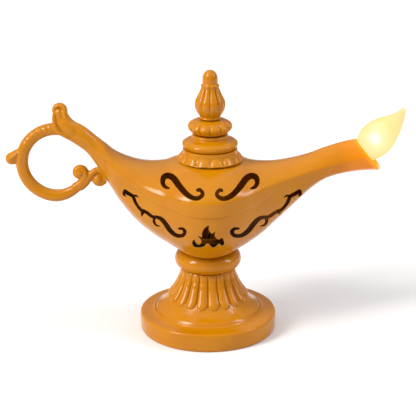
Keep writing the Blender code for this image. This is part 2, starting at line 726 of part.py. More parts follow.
def make_collar():
    wall = LID_WALL
    hole_r = CUP_R + WALL + GAP
    flange_r = hole_r + 1.6 * MM
    flange_z = body_underside(flange_r) - GAP
    profile = [(0, CUP_FLOOR_Z), (CUP_R, CUP_FLOOR_Z), (CUP_R, COLLAR_TOP_Z),
               (LID_R - 0.6 * MM, COLLAR_TOP_Z),
               (LID_R + 0.4 * MM, COLLAR_TOP_Z - 0.8 * MM),
               (LID_R + 1.2 * MM, COLLAR_TOP_Z - 2.2 * MM),
               (SKIRT_R - 0.2 * MM, SKIRT_Z + 1.4 * MM), (SKIRT_R, SKIRT_Z + 0.9 * MM),
               (SKIRT_R, SKIRT_Z), (SKIRT_R - wall, SKIRT_Z),
               (SKIRT_R - wall - 0.6 * MM, BOWL_TOP_Z + GAP * 2),
               (hole_r - GAP, BOWL_TOP_Z + GAP * 2), (hole_r - GAP, flange_z),
               (flange_r, flange_z), (flange_r, flange_z - wall),
               (hole_r - GAP, CUP_FLOOR_Z - wall), (0, CUP_FLOOR_Z - wall)]
    place(turned("collar", profile, GOLD), on_lid_axis(0))


def body_underside(radius):
    """Height of the hollow's ceiling at a radius from the axis, at its lowest."""
    half = BOWL_HALF_DEPTH - WALL
    ceiling = []
    for x in (0.0, radius + LID_X):
        side = body_size(x, 2)
        rise = body_size(x, 3) - WALL - side
        reach = radius if x == 0.0 else 0.0
        ceiling.append(side + rise * math.sqrt(1 - (reach / half) ** 2))
    return min(ceiling)


def make_lid():
    base = COLLAR_TOP_Z + GAP
    spigot = CUP_R - GAP
    hole = LID_SCREW_R + GAP
    profile = [(hole, LID_TOP_Z), (8.6 * MM, LID_TOP_Z), (8.8 * MM, LID_TOP_Z - 0.9 * MM),
               (10.2 * MM, LID_TOP_Z - 2.2 * MM), (LID_R - 0.6 * MM, LID_TOP_Z - 3.4 * MM),
               (LID_R, LID_TOP_Z - 4.4 * MM), (LID_R, base), (spigot, base),
               (spigot, CUP_FLOOR_Z + 2.4 * MM), (spigot - LID_WALL, CUP_FLOOR_Z + 2.4 * MM),
               (spigot - LID_WALL, LID_TOP_Z - LID_TOP_T - 0.4 * MM), (hole, LID_TOP_Z - LID_TOP_T)]
    place(turned("lid", profile, GOLD, closed=True), on_lid_axis(0))
    fluted("finial_bead", bead_rings(), GOLD, steps=3 * BEAD_LOBES)
    fluted("finial", finial_rings(), GOLD, steps=3 * FINIAL_LOBES)
    cut(bpy.data.objects["finial_bead"],
        cylinder("bead_hole", hole, on_lid_axis(LID_TOP_Z), on_lid_axis(LID_TOP_Z + BEAD_H + WALL)))
    bead_top = LID_TOP_Z + BEAD_H
    cut(bpy.data.objects["finial"],
        cylinder("finial_pilot", LID_SCREW_R + GAP / 2, on_lid_axis(bead_top - WALL),
                 on_lid_axis(bead_top + LID_SCREW_REACH + 1 * MM)))
    seat = LID_TOP_Z - LID_TOP_T - 0.4 * MM - GAP
    make_screw("lid_screw", on_lid_axis(seat), (math.pi, 0, 0), bead_top + LID_SCREW_REACH - seat,
               radius=LID_SCREW_R, head_r=LID_SCREW_HEAD_R)


def fluted(name, rings, material, steps):
    """A turned stack whose rings (radius, z, lobes, depth) swell and dip round the axis."""
    loops = []
    for radius, z, lobes, depth in rings:
        loop = []
        for i in range(steps):
            angle = 2 * math.pi * i / steps
            wave = abs(math.cos(lobes * angle / 2)) if lobes else 1.0
            reach = radius - depth * (1 - wave)
            loop.append((LID_X + reach * math.cos(angle), reach * math.sin(angle), z))
        loops.append(loop)
    return lofted(name, loops, material, PARTS)


def bead_rings():
    low = LID_TOP_Z + GAP
    rings = []
    for share, width, depth in ((0, 0.72, 0), (0.1, 0.86, 0.5), (0.25, 0.97, 0.9), (0.45, 1.0, 1.1),
                                (0.65, 0.95, 1.0), (0.82, 0.82, 0.7), (0.94, 0.66, 0.2),
                                (1.0, 0.6, 0)):
        rings.append((BEAD_R * width, low + (BEAD_H - GAP) * share, BEAD_LOBES, depth * MM))
    return rings


def finial_rings():
    low = LID_TOP_Z + BEAD_H + GAP
    rise = FINIAL_TOP_Z - low
    rings = []
    for share, width, depth in ((0, 0.66, 0), (0.03, 0.70, 0), (0.055, 0.67, 0.1),
                                (0.15, 0.89, 0.6), (0.25, 0.99, 0.8), (0.34, 0.98, 0.8),
                                (0.45, 0.86, 0.7), (0.525, 0.74, 0.6), (0.61, 0.63, 0.5),
                                (0.68, 0.60, 0.3), (0.74, 0.48, 0), (0.83, 0.51, 0),
                                (0.91, 0.45, 0), (0.97, 0.29, 0), (1.0, 0.06, 0)):
        rings.append((BALUSTER_R * width, low + rise * share, FINIAL_LOBES, depth * MM))
    return rings


# Flame, LED and the plug of the mouth

def on_flame_axis(distance, side=0.0, y=0.0):
    return FLAME_FOOT + FLAME_AXIS * distance + FLAME_SIDE * side + Vector((0, y, 0))


def make_flame():
    """Lens with a pointed flame form: shares of its length, radius and sideways lean."""
    form = ((-0.12, 0.62, 0), (0.0, 0.70, 0), (0.05, 0.75, 0), (0.1, 0.86, 0), (0.2, 0.97, 0),
            (0.3, 1.0, 0),
            (0.4, 0.97, -0.02), (0.5, 0.87, -0.05), (0.6, 0.72, -0.08), (0.7, 0.53, -0.09),
            (0.8, 0.36, -0.08), (0.9, 0.2, -0.04), (0.96, 0.1, -0.01), (1.0, FLAME_POINT, 0))
    points = [on_flame_axis(FLAME_LENGTH * share, FLAME_R * lean) for share, _, lean in form]
    flame = tube("flame_lens", points, [FLAME_R * width for _, width, _ in form], GLOW, PARTS,
                 resolution=6)
    cut(flame, mouth_slab("flame_foot_cut", -40 * MM, GAP - PLUG_DEPTH))
    bore_end = LED_FOOT + LED_LENGTH + 2 * GAP
    cut(flame, cylinder("led_bore", LED_R + GAP, on_flame_axis(-20 * MM), on_flame_axis(bore_end)))


def make_mouth_plug():
    plug = body_solid("mouth_plug", inset=WALL + GAP, first=60 * MM, band=False)
    CUTTERS.objects.unlink(plug)
    PARTS.objects.link(plug)
    plug.data.materials.append(GOLD)
    combine(plug, [mouth_slab("plug_slab", -PLUG_DEPTH - PLUG_T, -PLUG_DEPTH)], "INTERSECT")
    cut(plug, cylinder("plug_bore", LED_R + GAP, on_flame_axis(-20 * MM), on_flame_axis(20 * MM)))


def make_led():
    dome = []
    for i in range(5):
        angle = math.radians(90 - 90 * i / 4)
        dome.append((LED_R * math.cos(angle), LED_LENGTH - LED_R + LED_R * math.sin(angle)))
    led = turned("led", dome + [(LED_R, 0), (0, 0)], CLEAR, steps=SMALL_STEPS)
    place(led, on_flame_axis(LED_FOOT), (0, math.pi / 2 - FLAME_TILT, 0))
    for side in (-1, 1):
        y = side * LED_LEAD_PITCH / 2
        join(led, cylinder(f"led_lead_{side}", LED_LEAD_R, on_flame_axis(LED_LEAD_END, y=y),
                           on_flame_axis(LED_FOOT + GAP, y=y), steps=8))


# Wires

def make_wire(name, route, material):
    tube(name, route, [WIRE_R] * len(route), material, PARTS, resolution=1)


def make_wires():
    board_top = BOARD_Z + BOARD_T + GAP
    for name, side, material in (("led_wire_red", 1, RED_WIRE), ("led_wire_black", -1, BLACK)):
        y = side * 1.5 * MM
        end_y = side * LED_LEAD_PITCH / 2
        route = [Vector((SWITCH_X + 5 * MM, y, board_top))]
        route += [Vector((x * MM, y, z * MM)) for x, z in (
            (-12.6, 12), (-10.5, 17), (-6.5, 22), (-3, 27), (-0.8, 33), (0, 41), (0.5, 50),
            (5, 55.5), (15, 59.5), (25, 62.5), (34, 67), (42, 73), (49, 78.6), (55, 82.3),
            (60.5, 84.3), (66, 85.4))]
        route.append(on_flame_axis(LED_LEAD_END - 2.2 * MM, y=end_y))
        route.append(on_flame_axis(LED_LEAD_END - GAP, y=end_y))
        make_wire(name, route, material)
    tail = tray_top() + TRAY_WALL + TAIL_RISE + GAP + WIRE_R
    red = [(plate_x(0), -4 * MM, tail), (-9.6 * MM, -4.2 * MM, tail + 0.8 * MM),
           (-11.8 * MM, -4.5 * MM, 13.5 * MM), (SWITCH_X + 5.4 * MM, -4.5 * MM, board_top)]
    make_wire("battery_wire_red", red, RED_WIRE)
    black = [(plate_x(1), 4 * MM, tail), (10 * MM, 4.3 * MM, tail + 0.9 * MM),
             (0, 4.6 * MM, tail + 0.8 * MM), (-8 * MM, 4.6 * MM, tail + 0.8 * MM),
             (-11.8 * MM, 4.5 * MM, 13.5 * MM), (SWITCH_X + 5.4 * MM, 4.5 * MM, board_top)]
    make_wire("battery_wire_black", black, BLACK)


# Battery base

def cell_axis_z():
    return COVER_Z + DOOR_T + GAP + CELL_R


def tray_top():
    return cell_axis_z() + CELL_R + GAP


def tray_half_width():
    return CELL_R + 2 * GAP


def tray_length():
    cells = CELL_COUNT * CELL_T + (CELL_COUNT - 1) * GAP
    return cells + SPRING_LENGTH + 2 * PLATE_T + 5 * GAP


def tray_low():
    return TRAY_X - tray_length() / 2


def tray_high():
    return TRAY_X + tray_length() / 2


def plate_x(end):
    """Middle of the contact plate (0) or of the plate behind the spring (1)."""
    inset = GAP + PLATE_T / 2
    return tray_high() - inset if end else tray_low() + inset


def door_high():
    return tray_high() + TRAY_WALL + DOOR_EAR


def door_screw_x():
    return door_high() - DOOR_EAR / 2


def make_base_cover():
    top = COVER_Z + COVER_T
    half = tray_half_width()
    outer = half + TRAY_WALL
    cover = cylinder("base_cover", FOOT_R - FOOT_RIM - GAP, (0, 0, COVER_Z), (0, 0, top), BLACK,
                     PARTS, steps=TURN_STEPS)
    join(cover, box_between("tray_block", (tray_low() - TRAY_WALL, -outer, COVER_Z),
                            (tray_high() + TRAY_WALL, outer, tray_top() + TRAY_WALL)))
    join(cover, box_between("door_screw_block", (tray_high(), -outer, COVER_Z),
                            (door_high() + TRAY_WALL, outer, DOOR_SCREW_TIP_Z + 2 * TRAY_WALL)))
    cut(cover, box_between("door_opening", (tray_low(), -half, 0), (door_high(), half, top)))
    cut(cover, box_between("tray_room", (tray_low(), -half, 0), (tray_high(), half, tray_top())))
    for side in (-1, 1):
        low, high = sorted((side * (TAB_LOW_Y - GAP), side * (half - GAP / 2)))
        cut(cover, box_between(f"tab_slot_{side}", (tray_low() - 2 * TRAY_WALL, low, top),
                               (tray_low() + GAP, high, top + GAP + TAB_T + TAB_REACH)))
    for end, y in ((0, -TAIL_Y), (1, TAIL_Y)):
        x = plate_x(end)
        low = (x - PLATE_T / 2 - GAP, y - TAIL_W / 2 - GAP, tray_top() - GAP)
        high = (x + PLATE_T / 2 + GAP, y + TAIL_W / 2 + GAP, tray_top() + 2 * TRAY_WALL)
        cut(cover, box_between(f"tail_slot_{end}", low, high))
    bore_r = DOOR_SCREW_R + 2 * GAP
    cut(cover, cylinder("door_screw_bore", bore_r, (door_screw_x(), 0, 0),
                        (door_screw_x(), 0, DOOR_SCREW_TIP_Z + GAP)))
    slot = SWITCH_TRAVEL / 2 + SLIDER_W / 2 + GAP
    cut(cover, box_between("switch_slot", (SWITCH_X - slot, -SLIDER_D / 2 - GAP, 0),
                           (SWITCH_X + slot, SLIDER_D / 2 + GAP, top + COVER_Z)))
    for number, (x, y) in enumerate(BOARD_POSTS, 1):
        x, y = SWITCH_X + x * MM, y * MM
        join(cover, cylinder(f"board_post_{number}", BOARD_POST_R, (x, y, COVER_Z + GAP),
                             (x, y, BOARD_Z - GAP), steps=8))
    for number, (x, y) in enumerate(base_screw_places(), 1):
        cut(cover, cylinder(f"cover_hole_{number}", SCREW_R + GAP, (x, y, 0), (x, y, top + GAP)),
            cylinder(f"cover_sink_{number}", SCREW_HEAD_R + GAP, (x, y, 0),
                     (x, y, COVER_Z + SINK_DEPTH)))
        seat = COVER_Z + SINK_DEPTH - GAP
        make_screw(f"base_screw_{number}", (x, y, seat), (math.pi, 0, 0), BASE_SCREW_TIP_Z - seat,
                   head_h=FLAT_HEAD_H)


def make_battery_door():
    half = tray_half_width() - GAP
    low, top = tray_low() + GAP, COVER_Z + DOOR_T
    door = box_between("battery_door", (low, -half, COVER_Z), (door_high() - GAP, half, top), BLACK,
                       PARTS)
    made = [door]
    hook = COVER_Z + COVER_T + GAP
    for side in (-1, 1):
        inner, outer = sorted((side * TAB_LOW_Y, side * half))
        riser = box_between(f"tab_riser_{side}", (low, inner, COVER_Z + GAP),
                            (low + TAB_ROOT, outer, hook + TAB_T))
        tab = box_between(f"tab_hook_{side}", (low - TAB_REACH, inner, hook),
                          (low + TAB_ROOT, outer, hook + TAB_T))
        join(door, riser, tab)
        made += [riser, tab]
    x = door_screw_x()
    hole = cylinder("door_hole", DOOR_SCREW_R + GAP, (x, 0, 0), (x, 0, top + GAP))
    sink = cylinder("door_sink", SCREW_HEAD_R + GAP, (x, 0, 0), (x, 0, COVER_Z + SINK_DEPTH))
    cut(door, hole, sink)
    seat = COVER_Z + SINK_DEPTH - GAP
    screw = make_screw("door_screw", (x, 0, seat), (math.pi, 0, 0), DOOR_SCREW_TIP_Z - seat,
                       radius=DOOR_SCREW_R, head_h=FLAT_HEAD_H)
    hang("door_hinge", (low, 0, COVER_Z), made + [hole, sink, screw])


def make_cells():
    z = cell_axis_z()
    x = tray_low() + PLATE_T + 2 * GAP
    for number in range(1, CELL_COUNT + 1):
        cylinder(f"cell_{number}", CELL_R, (x, 0, z), (x + CELL_T, 0, z), STEEL, PARTS, steps=24)
        x += CELL_T + GAP
    for end, y, name in ((0, -TAIL_Y, "contact_plate"), (1, TAIL_Y, "spring_plate")):
        middle = plate_x(end)
        half = PLATE_T / 2
        plate = box_between(name, (middle - half, -PLATE_HALF, z - PLATE_HALF),
                            (middle + half, PLATE_HALF, z + PLATE_HALF), STEEL, PARTS)
        tail = box_between(f"{name}_tail", (middle - half, y - TAIL_W / 2, z),
                           (middle + half, y + TAIL_W / 2, tray_top() + TRAY_WALL + TAIL_RISE))
        join(plate, tail)
    make_contact_spring(x, z)


def make_contact_spring(start, z, per_turn=9):
    low = start + SPRING_WIRE_R
    travel = SPRING_LENGTH - 2 * SPRING_WIRE_R
    points = []
    for i in range(SPRING_TURNS * per_turn + 1):
        share = i / (SPRING_TURNS * per_turn)
        angle = 2 * math.pi * SPRING_TURNS * share
        points.append(Vector((low + travel * share, SPRING_R * math.cos(angle),
                              z + SPRING_R * math.sin(angle))))
    tube("contact_spring", points, [SPRING_WIRE_R] * len(points), STEEL, PARTS, resolution=1)


# Board and switch

def make_board():
    box_between("circuit_board", (SWITCH_X - BOARD_LEFT, -BOARD_HALF, BOARD_Z),
                (SWITCH_X + BOARD_RIGHT, BOARD_HALF, BOARD_Z + BOARD_T), BOARD, PARTS)
    rest = BOARD_Z + BOARD_T + GAP
    chip = (SWITCH_X + 1.5 * MM, BOARD_HALF * 0.35, rest + CHIP_SIZE[2] / 2)
    box("flicker_chip", CHIP_SIZE, chip, BLACK, PARTS)
    x, z, half = SWITCH_X - 3.0 * MM, rest + RESISTOR_R, RESISTOR_LENGTH / 2
    cylinder("resistor", RESISTOR_R, (x, -half, z), (x, half, z), TAN, PARTS, steps=12)


def make_switch():
    low, high = COVER_Z + COVER_T + GAP, BOARD_Z - GAP
    housing = box_between("switch_housing", (SWITCH_X - SWITCH_LENGTH / 2, -SWITCH_W / 2, low),
                          (SWITCH_X + SWITCH_LENGTH / 2, SWITCH_W / 2, high), STEEL, PARTS)
    flange_half = SLIDER_W / 2 + SLIDER_FLANGE
    room = SWITCH_TRAVEL / 2 + flange_half + GAP
    depth = SLIDER_D / 2 + SLIDER_FLANGE
    flange_top = low + SLIDER_FLANGE_T
    cut(housing, box_between("switch_room", (SWITCH_X - room, -depth - GAP, low - GAP),
                             (SWITCH_X + room, depth + GAP, flange_top + 2 * GAP)))
    x = SWITCH_X - SWITCH_TRAVEL / 2
    slider = box_between("switch_slider", (x - SLIDER_W / 2, -SLIDER_D / 2, COVER_Z - SLIDER_PROUD),
                         (x + SLIDER_W / 2, SLIDER_D / 2, flange_top + GAP / 3), BLACK, PARTS)
    join(slider, box_between("slider_flange", (x - flange_half, -depth, low),
                             (x + flange_half, depth, flange_top)))


# Assembly

def hang(name, location, pieces):
    """An empty on a joint's axis that carries its pieces."""
    pivot = bpy.data.objects.new(name, None)
    pivot.location = location
    PARTS.objects.link(pivot)
    for piece in pieces:
        piece.location = Vector(piece.location) - Vector(location)
        piece.parent = pivot
    return pivot


def centre_on_length():
    """Put the origin at the middle of the length: the foot's axis is a little off it."""
    knob_end = LOOP_X - LOOP_R - KNOB_REACH
    axis = bpy.data.objects.new("foot_axis", None)
    flame_end = FLAME_TIP.x + FLAME_R * FLAME_POINT * math.sin(FLAME_TILT)
    axis.location = (-(knob_end + flame_end) / 2, 0, 0)
    PARTS.objects.link(axis)
    for group in (PARTS, CUTTERS):
        for item in group.objects:
            if item is not axis and item.parent is None:
                item.parent = axis


def main():
    make_pedestal()
    make_stem()
    make_shells()
    make_handle()
    make_collar()
    make_lid()
    make_flame()
    make_mouth_plug()
    make_led()
    make_base_cover()
    make_battery_door()
    make_cells()
    make_board()
    make_switch()
    make_wires()
    centre_on_length()
    bpy.context.view_layer.update()


main()
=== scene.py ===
"""Looks of an LED lamp in the shape of an old oil lamp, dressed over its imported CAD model."""

import json
from math import atan2, cos, exp, pi, radians, sin, sqrt

import bmesh
import bpy
from mathutils import Matrix, Vector


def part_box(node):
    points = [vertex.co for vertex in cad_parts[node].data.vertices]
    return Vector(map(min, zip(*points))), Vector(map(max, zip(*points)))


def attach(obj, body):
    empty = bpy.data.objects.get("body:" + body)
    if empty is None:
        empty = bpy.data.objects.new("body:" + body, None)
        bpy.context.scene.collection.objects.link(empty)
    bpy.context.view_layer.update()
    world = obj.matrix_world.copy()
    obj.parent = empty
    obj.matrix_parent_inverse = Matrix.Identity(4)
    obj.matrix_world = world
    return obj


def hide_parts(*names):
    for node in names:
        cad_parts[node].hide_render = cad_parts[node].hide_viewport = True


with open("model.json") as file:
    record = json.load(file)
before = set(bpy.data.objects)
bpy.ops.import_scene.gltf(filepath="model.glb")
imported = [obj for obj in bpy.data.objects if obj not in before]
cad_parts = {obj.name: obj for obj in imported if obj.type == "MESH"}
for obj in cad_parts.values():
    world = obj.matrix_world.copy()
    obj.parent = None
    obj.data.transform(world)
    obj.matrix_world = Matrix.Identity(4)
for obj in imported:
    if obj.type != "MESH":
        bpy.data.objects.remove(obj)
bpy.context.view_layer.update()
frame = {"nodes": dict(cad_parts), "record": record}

# Sizes here are in mm from the foot's axis and the surface that the foot stands on
MM = 0.001
FOOT_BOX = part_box("pedestal")
AXIS_X = (FOOT_BOX[0][0] + FOOT_BOX[1][0]) / 2

# Walls and gaps, and how far a cutter runs to pass through everything
WALL = 1.8
CLEARANCE = 0.3
SEAM = 0.02
THROUGH = 40.0
PLATE_REACH = 30.0

# Foot and stem
FOOT_R = 34.5
FOOT_H = 9.4
FOOT_RIM = 3.0
NECK_Z = 32.5
SPIGOT_R = 9.0
SPIGOT_TOP = 50.0
REEDS = 20
FLARE = ((13.7, 31.4), (13.7, 30.0), (13.9, 28.4), (14.4, 26.8), (15.0, 25.0), (15.9, 23.2),
         (16.9, 21.4), (18.1, 19.7), (19.4, 18.1), (20.8, 16.5), (22.2, 15.1), (23.6, 13.8),
         (25.0, 12.8), (26.3, 12.0))

# Bowl, from the root of the handle to the end of the spout
BOWL_SEAT_Z = 42.0
BAND_H = 6.7
BAND_STEP = 1.0
BAND_REACH = 47.0
CROWN_SHARE = 0.42
FACET_SHARE = 0.5
FACET_CORNER = radians(42)
FACET_SPAN = (12, 42)
CALM_SPAN = (-54, -26)
NECK_END_X = -50.3
SPOUT_START_X = 62.0
VOID_END_X = 86.0
BODY_END_X = 89.0
BODY_PITCH = 1.5

# Mouth of the spout: a point on its axis, the way it looks, and its lip
MOUTH = Vector((78.5, 0, 91.5))
MOUTH_TILT = radians(38.7)
MOUTH_OUT = Vector((cos(MOUTH_TILT), 0, sin(MOUTH_TILT)))
LIP_R = 0.6
LIP_GROWTH = 1.1
LIP_SPACING = 1.3

# Flame
FLAME_TILT = radians(49.5)
FLAME_LENGTH = 29.2
FLAME_R = 8.5
FLAME_AXIS = Vector((cos(FLAME_TILT), 0, sin(FLAME_TILT)))
FLAME_SIDE = Vector((-sin(FLAME_TILT), 0, cos(FLAME_TILT)))
FLAME_FOOT = MOUTH + FLAME_SIDE * 1.9
LED_BORE_R = 2.8

# Handle: middle and radius of its ring, radius of its bar, and the grain of its skin
LOOP = (-74.7, 87.3)
LOOP_R = 17.2
LOOP_BAR_R = 3.1
VOXEL = 0.42

# Collar, lid and finial, round an axis of their own
LID_X = 1.0
CUP_R = 9.6
CUP_FLOOR_Z = 86.8
PETALS = 14
BEAD_LOBES = 12
FINIAL_FLUTES = 10

# Screws that join the shells: their places, the posts round them and the holes for them
SHELL_SCREWS = ((-44.7, 82.5), (-32.2, 75.0), (32.4, 75.6), (58.6, 87.6))
BOSS_R = 3.0
HEAD_SINK_R = 2.6
HEAD_SINK_Y = 2.4
SHANK_HOLE_R = 1.5

# Body sections: x, half depth, band height, top, bottom
SECTIONS = (
    (-70.5, 3.2, 104.6, 108.6, 100.0), (-66.5, 3.8, 102.6, 108.6, 97.7), (-63.0, 4.2, 100.6, 107.2, 95.3),
    (-59.2, 4.4, 98.4, 104.7, 92.0), (-55.3, 5.0, 93.9, 101.3, 86.4), (-50.3, 7.4, 91.7, 97.0, 78.5),
    (-47.4, 9.8, 88.8, 94.1, 73.7), (-44.4, 11.8, 86.2, 92.0, 68.7), (-38.5, 15.0, 83.1, 89.1, 60.7),
    (-32.6, 18.2, 80.3, 87.4, 54.7), (-26.6, 21.5, 78.5, 86.9, 50.1), (-20.7, 25.0, 77.5, 87.3, 46.6),
    (-15.8, 28.8, 77.3, 88.9, 43.9), (-7.9, 33.5, 76.7, 90.1, 40.1), (0, 35.0, 76.8, 90.3, 38.8),
    (7.9, 33.4, 76.7, 90.1, 40.2), (15.8, 28.6, 77.4, 88.9, 44.0), (20.7, 24.7, 77.8, 87.3, 46.7),
    (26.6, 20.0, 79.4, 86.9, 50.5), (32.6, 16.1, 81.1, 87.3, 56.0), (38.5, 13.6, 82.9, 88.4, 61.6),
    (44.4, 12.3, 84.4, 89.9, 67.4), (50.3, 11.0, 85.8, 91.9, 73.4), (56.3, 9.8, 87.5, 94.6, 78.2),
    (62.2, 8.9, 88.9, 96.8, 80.8), (68.1, 8.6, 90.3, 98.5, 82.2), (74, 8.6, 91.7, 99.6, 83.1),
    (79.9, 8.6, 92.5, 100.5, 83.5), (88.8, 8.6, 93.3, 101.7, 84.1),
)

# Camera and the drawing plane of the ornament, square to its view
CAMERA = Vector((0, -669.9, 294.7))
AIM = Vector((0, 0, 63.5))
LENS = 122.7
AIM_OF_LIGHT = (0, 0, 70)
DRAWING_UNIT = 1 / 14.254
DRAWING_LEFT = 54.0
DRAWING_TOP = 34.0
DRAWING_NEAR = 62.0

# Pierced ornament in units of the drawing, from its upper left corner: points and widths
SCROLL = ((492, 344), (464, 333), (447, 303), (456, 266), (488, 254), (524, 273), (556, 315),
          (592, 360), (637, 400), (686, 417), (723, 401), (731, 376), (712, 356), (697, 358))
SCROLL_WIDTHS = (12, 26, 32, 42, 44, 46, 46, 42, 38, 33, 30, 26, 26, 24)
VINE = ((178, 366), (207, 384), (236, 402), (248, 432), (264, 463), (294, 499), (332, 516),
        (372, 546), (406, 550), (440, 565), (472, 603), (503, 648), (546, 680), (590, 680),
        (605, 655), (590, 633), (563, 631))
VINE_WIDTHS = (30, 27, 24, 22, 20, 22, 24, 22, 24, 30, 34, 33, 28, 26, 25, 21, 14)
VINE_BARBS = (
    (((178, 368), (171, 385), (184, 403)), (24, 19, 5)),
    (((236, 404), (254, 396), (274, 408)), (16, 15, 6)),
    (((310, 508), (302, 524), (300, 544)), (32, 22, 5)),
    (((388, 552), (386, 582), (400, 606), (426, 614)), (22, 18, 14, 7)),
)
FLAME_FIGURE = (
    (657, 738), (661, 720), (673, 710), (681, 727), (690, 741), (706, 746), (720, 736), (724, 720),
    (716, 703), (699, 685), (716, 690), (728, 692), (727, 668), (737, 640), (754, 622), (776, 609),
    (774, 632), (780, 650), (790, 664), (802, 667), (819, 654), (817, 678), (826, 698), (847, 710),
    (869, 697), (879, 712), (885, 738), (872, 753), (862, 748), (852, 737), (838, 744), (826, 757),
    (808, 766), (790, 757), (779, 742), (762, 736), (748, 752), (728, 763), (694, 766), (667, 759),
)
# How the right half repeats the left one: axis, stretch and drop along the drawing
MIRRORS = {"scroll": (782.0, 1.01, 2.0), "vine": (762.6, 1.126, 0.0)}

# The back carries the vines and the figure engraved this deep
ENGRAVING = 0.5

# Steps round a turned piece and round the corner of a profile
MOULD_STEPS = 160
CORNER_STEPS = 4


# Mesh helpers

def round_angles(count):
    return [2 * pi * k / count for k in range(count)]


def share_of(value, low, high):
    """How far a value lies from low to high: 0 to 1."""
    return min(max((value - low) / (high - low), 0.0), 1.0)


def way_ahead(points, i):
    return points[min(i + 1, len(points) - 1)] - points[max(i - 1, 0)]


def placed(name, data):
    item = bpy.data.objects.new(name, data)
    bpy.context.scene.collection.objects.link(item)
    return item


def build(name, points, faces):
    """A mesh object from points in mm, measured from the foot's axis."""
    mesh = bpy.data.meshes.new(name)
    mesh.from_pydata([(AXIS_X + x * MM, y * MM, z * MM) for x, y, z in points], [], faces)
    item = placed(name, mesh)
    bm = bmesh.new()
    bm.from_mesh(mesh)
    bmesh.ops.remove_doubles(bm, verts=bm.verts, dist=1e-7)
    bmesh.ops.recalc_face_normals(bm, faces=bm.faces)
    if bm.calc_volume(signed=True) < 0:
        bmesh.ops.reverse_faces(bm, faces=bm.faces)
    bm.to_mesh(mesh)
    bm.free()
    return item


def lofted(name, rings, closed=False):
    """Rings of equal count joined in turn, with end caps or closed into a hoop."""
    count = len(rings[0])
    points = [point for ring in rings for point in ring]
    faces = []
    for i in range(len(rings) if closed else len(rings) - 1):
        low, high = i * count, (i + 1) % len(rings) * count
        for k in range(count):
            after = (k + 1) % count
            faces.append((low + k, low + after, high + after, high + k))
    if not closed:
        faces.append(tuple(range(count))[::-1])
        faces.append(tuple(len(points) - count + k for k in range(count)))
    return build(name, points, faces)


def turned(name, profile, steps=MOULD_STEPS, closed=True, centre=0.0, relief=None):
    """A profile of radii and heights turned about an upright axis; relief moves its points."""
    rings = []
    for place, (radius, z) in enumerate(profile):
        ring = []
        for angle in round_angles(steps):
            r, height = relief(place, radius, z, angle) if relief else (radius, z)
            ring.append((centre + r * cos(angle), r * sin(angle), height))
        rings.append(ring)
    return lofted(name, rings, closed)


def rounded(profile):
    """A profile whose corners with a third number are rounded by that radius."""
    result = []
    count = len(profile)
    for i, corner in enumerate(profile):
        if len(corner) == 2:
            result.append(corner)
            continue
        here = Vector(corner[:2])
        before = Vector(profile[i - 1][:2]) - here
        after = Vector(profile[(i + 1) % count][:2]) - here
        reach = min(corner[2], before.length * 0.49, after.length * 0.49)
        start, end = here + before.normalized() * reach, here + after.normalized() * reach
        for k in range(CORNER_STEPS + 1):
            t = k / CORNER_STEPS
            result.append(tuple(start * (1 - t) ** 2 + here * 2 * t * (1 - t) + end * t ** 2))
    return result


def smooth_points(points, per_span):
    points = [Vector(point) for point in points]
    padded = [points[0] * 2 - points[1]] + points + [points[-1] * 2 - points[-2]]
    result = []
    for a, b, c, d in zip(padded, padded[1:], padded[2:], padded[3:]):
        for step in range(per_span):
            t = step / per_span
            result.append(0.5 * (2 * b + (c - a) * t + (2 * a - 5 * b + 4 * c - d) * t * t
                                 + (3 * b - a - 3 * c + d) * t ** 3))
    result.append(points[-1])
    return result


def smooth_values(values, per_span):
    return [point.x for point in smooth_points([(value, 0, 0) for value in values], per_span)]


def smooth_outline(points, per_span):
    return [(p.x, p.y) for p in smooth_points([(a, b, 0) for a, b in points], per_span)]


def tube(name, points, radii, sides=24, flat=1.0):
    """A tube in the middle plane through points, with its own radius at each of them."""
    rings = []
    for i, point in enumerate(points):
        ahead = way_ahead(points, i)
        normal = Vector((-ahead.z, 0, ahead.x)).normalized()
        ring = []
        for angle in round_angles(sides):
            offset = normal * cos(angle) + Vector((0, flat * sin(angle), 0))
            ring.append(point + offset * radii[i])
        rings.append(ring)
    return lofted(name, rings)


def circle(middle, first, second, radius, steps):
    """Points round a middle, from one direction towards another."""
    return [middle + (first * cos(a) + second * sin(a)) * radius for a in round_angles(steps)]


def cylinder(name, radius, start, end, steps=32):
    start, end = Vector(start), Vector(end)
    turn = (end - start).to_track_quat("Z", "Y")
    return lofted(name, [[middle + turn @ Vector((radius * cos(a), radius * sin(a), 0))
                          for a in round_angles(steps)] for middle in (start, end)])


def combined(item, others, operation="DIFFERENCE"):
    """One exact Boolean of an object with several others, which are then deleted."""
    group = bpy.data.collections.new(f"{item.name}_others")
    for other in others:
        group.objects.link(other)
    step = item.modifiers.new("combine", "BOOLEAN")
    step.operation = operation
    step.solver = "EXACT"
    step.operand_type = "COLLECTION"
    step.collection = group
    applied(item)
    for other in others:
        bpy.data.objects.remove(other, do_unlink=True)
    bpy.data.collections.remove(group)


def applied(item):
    """Turn an object's modifiers into its mesh."""
    bpy.context.view_layer.update()
    graph = bpy.context.evaluated_depsgraph_get()
    mesh = bpy.data.meshes.new_from_object(item.evaluated_get(graph))
    item.modifiers.clear()
    item.data = mesh


def in_scene(point):
    """A point of the lamp in the scene's metres."""
    return Vector((AXIS_X, 0, 0)) + Vector(point) * MM


# Node helpers

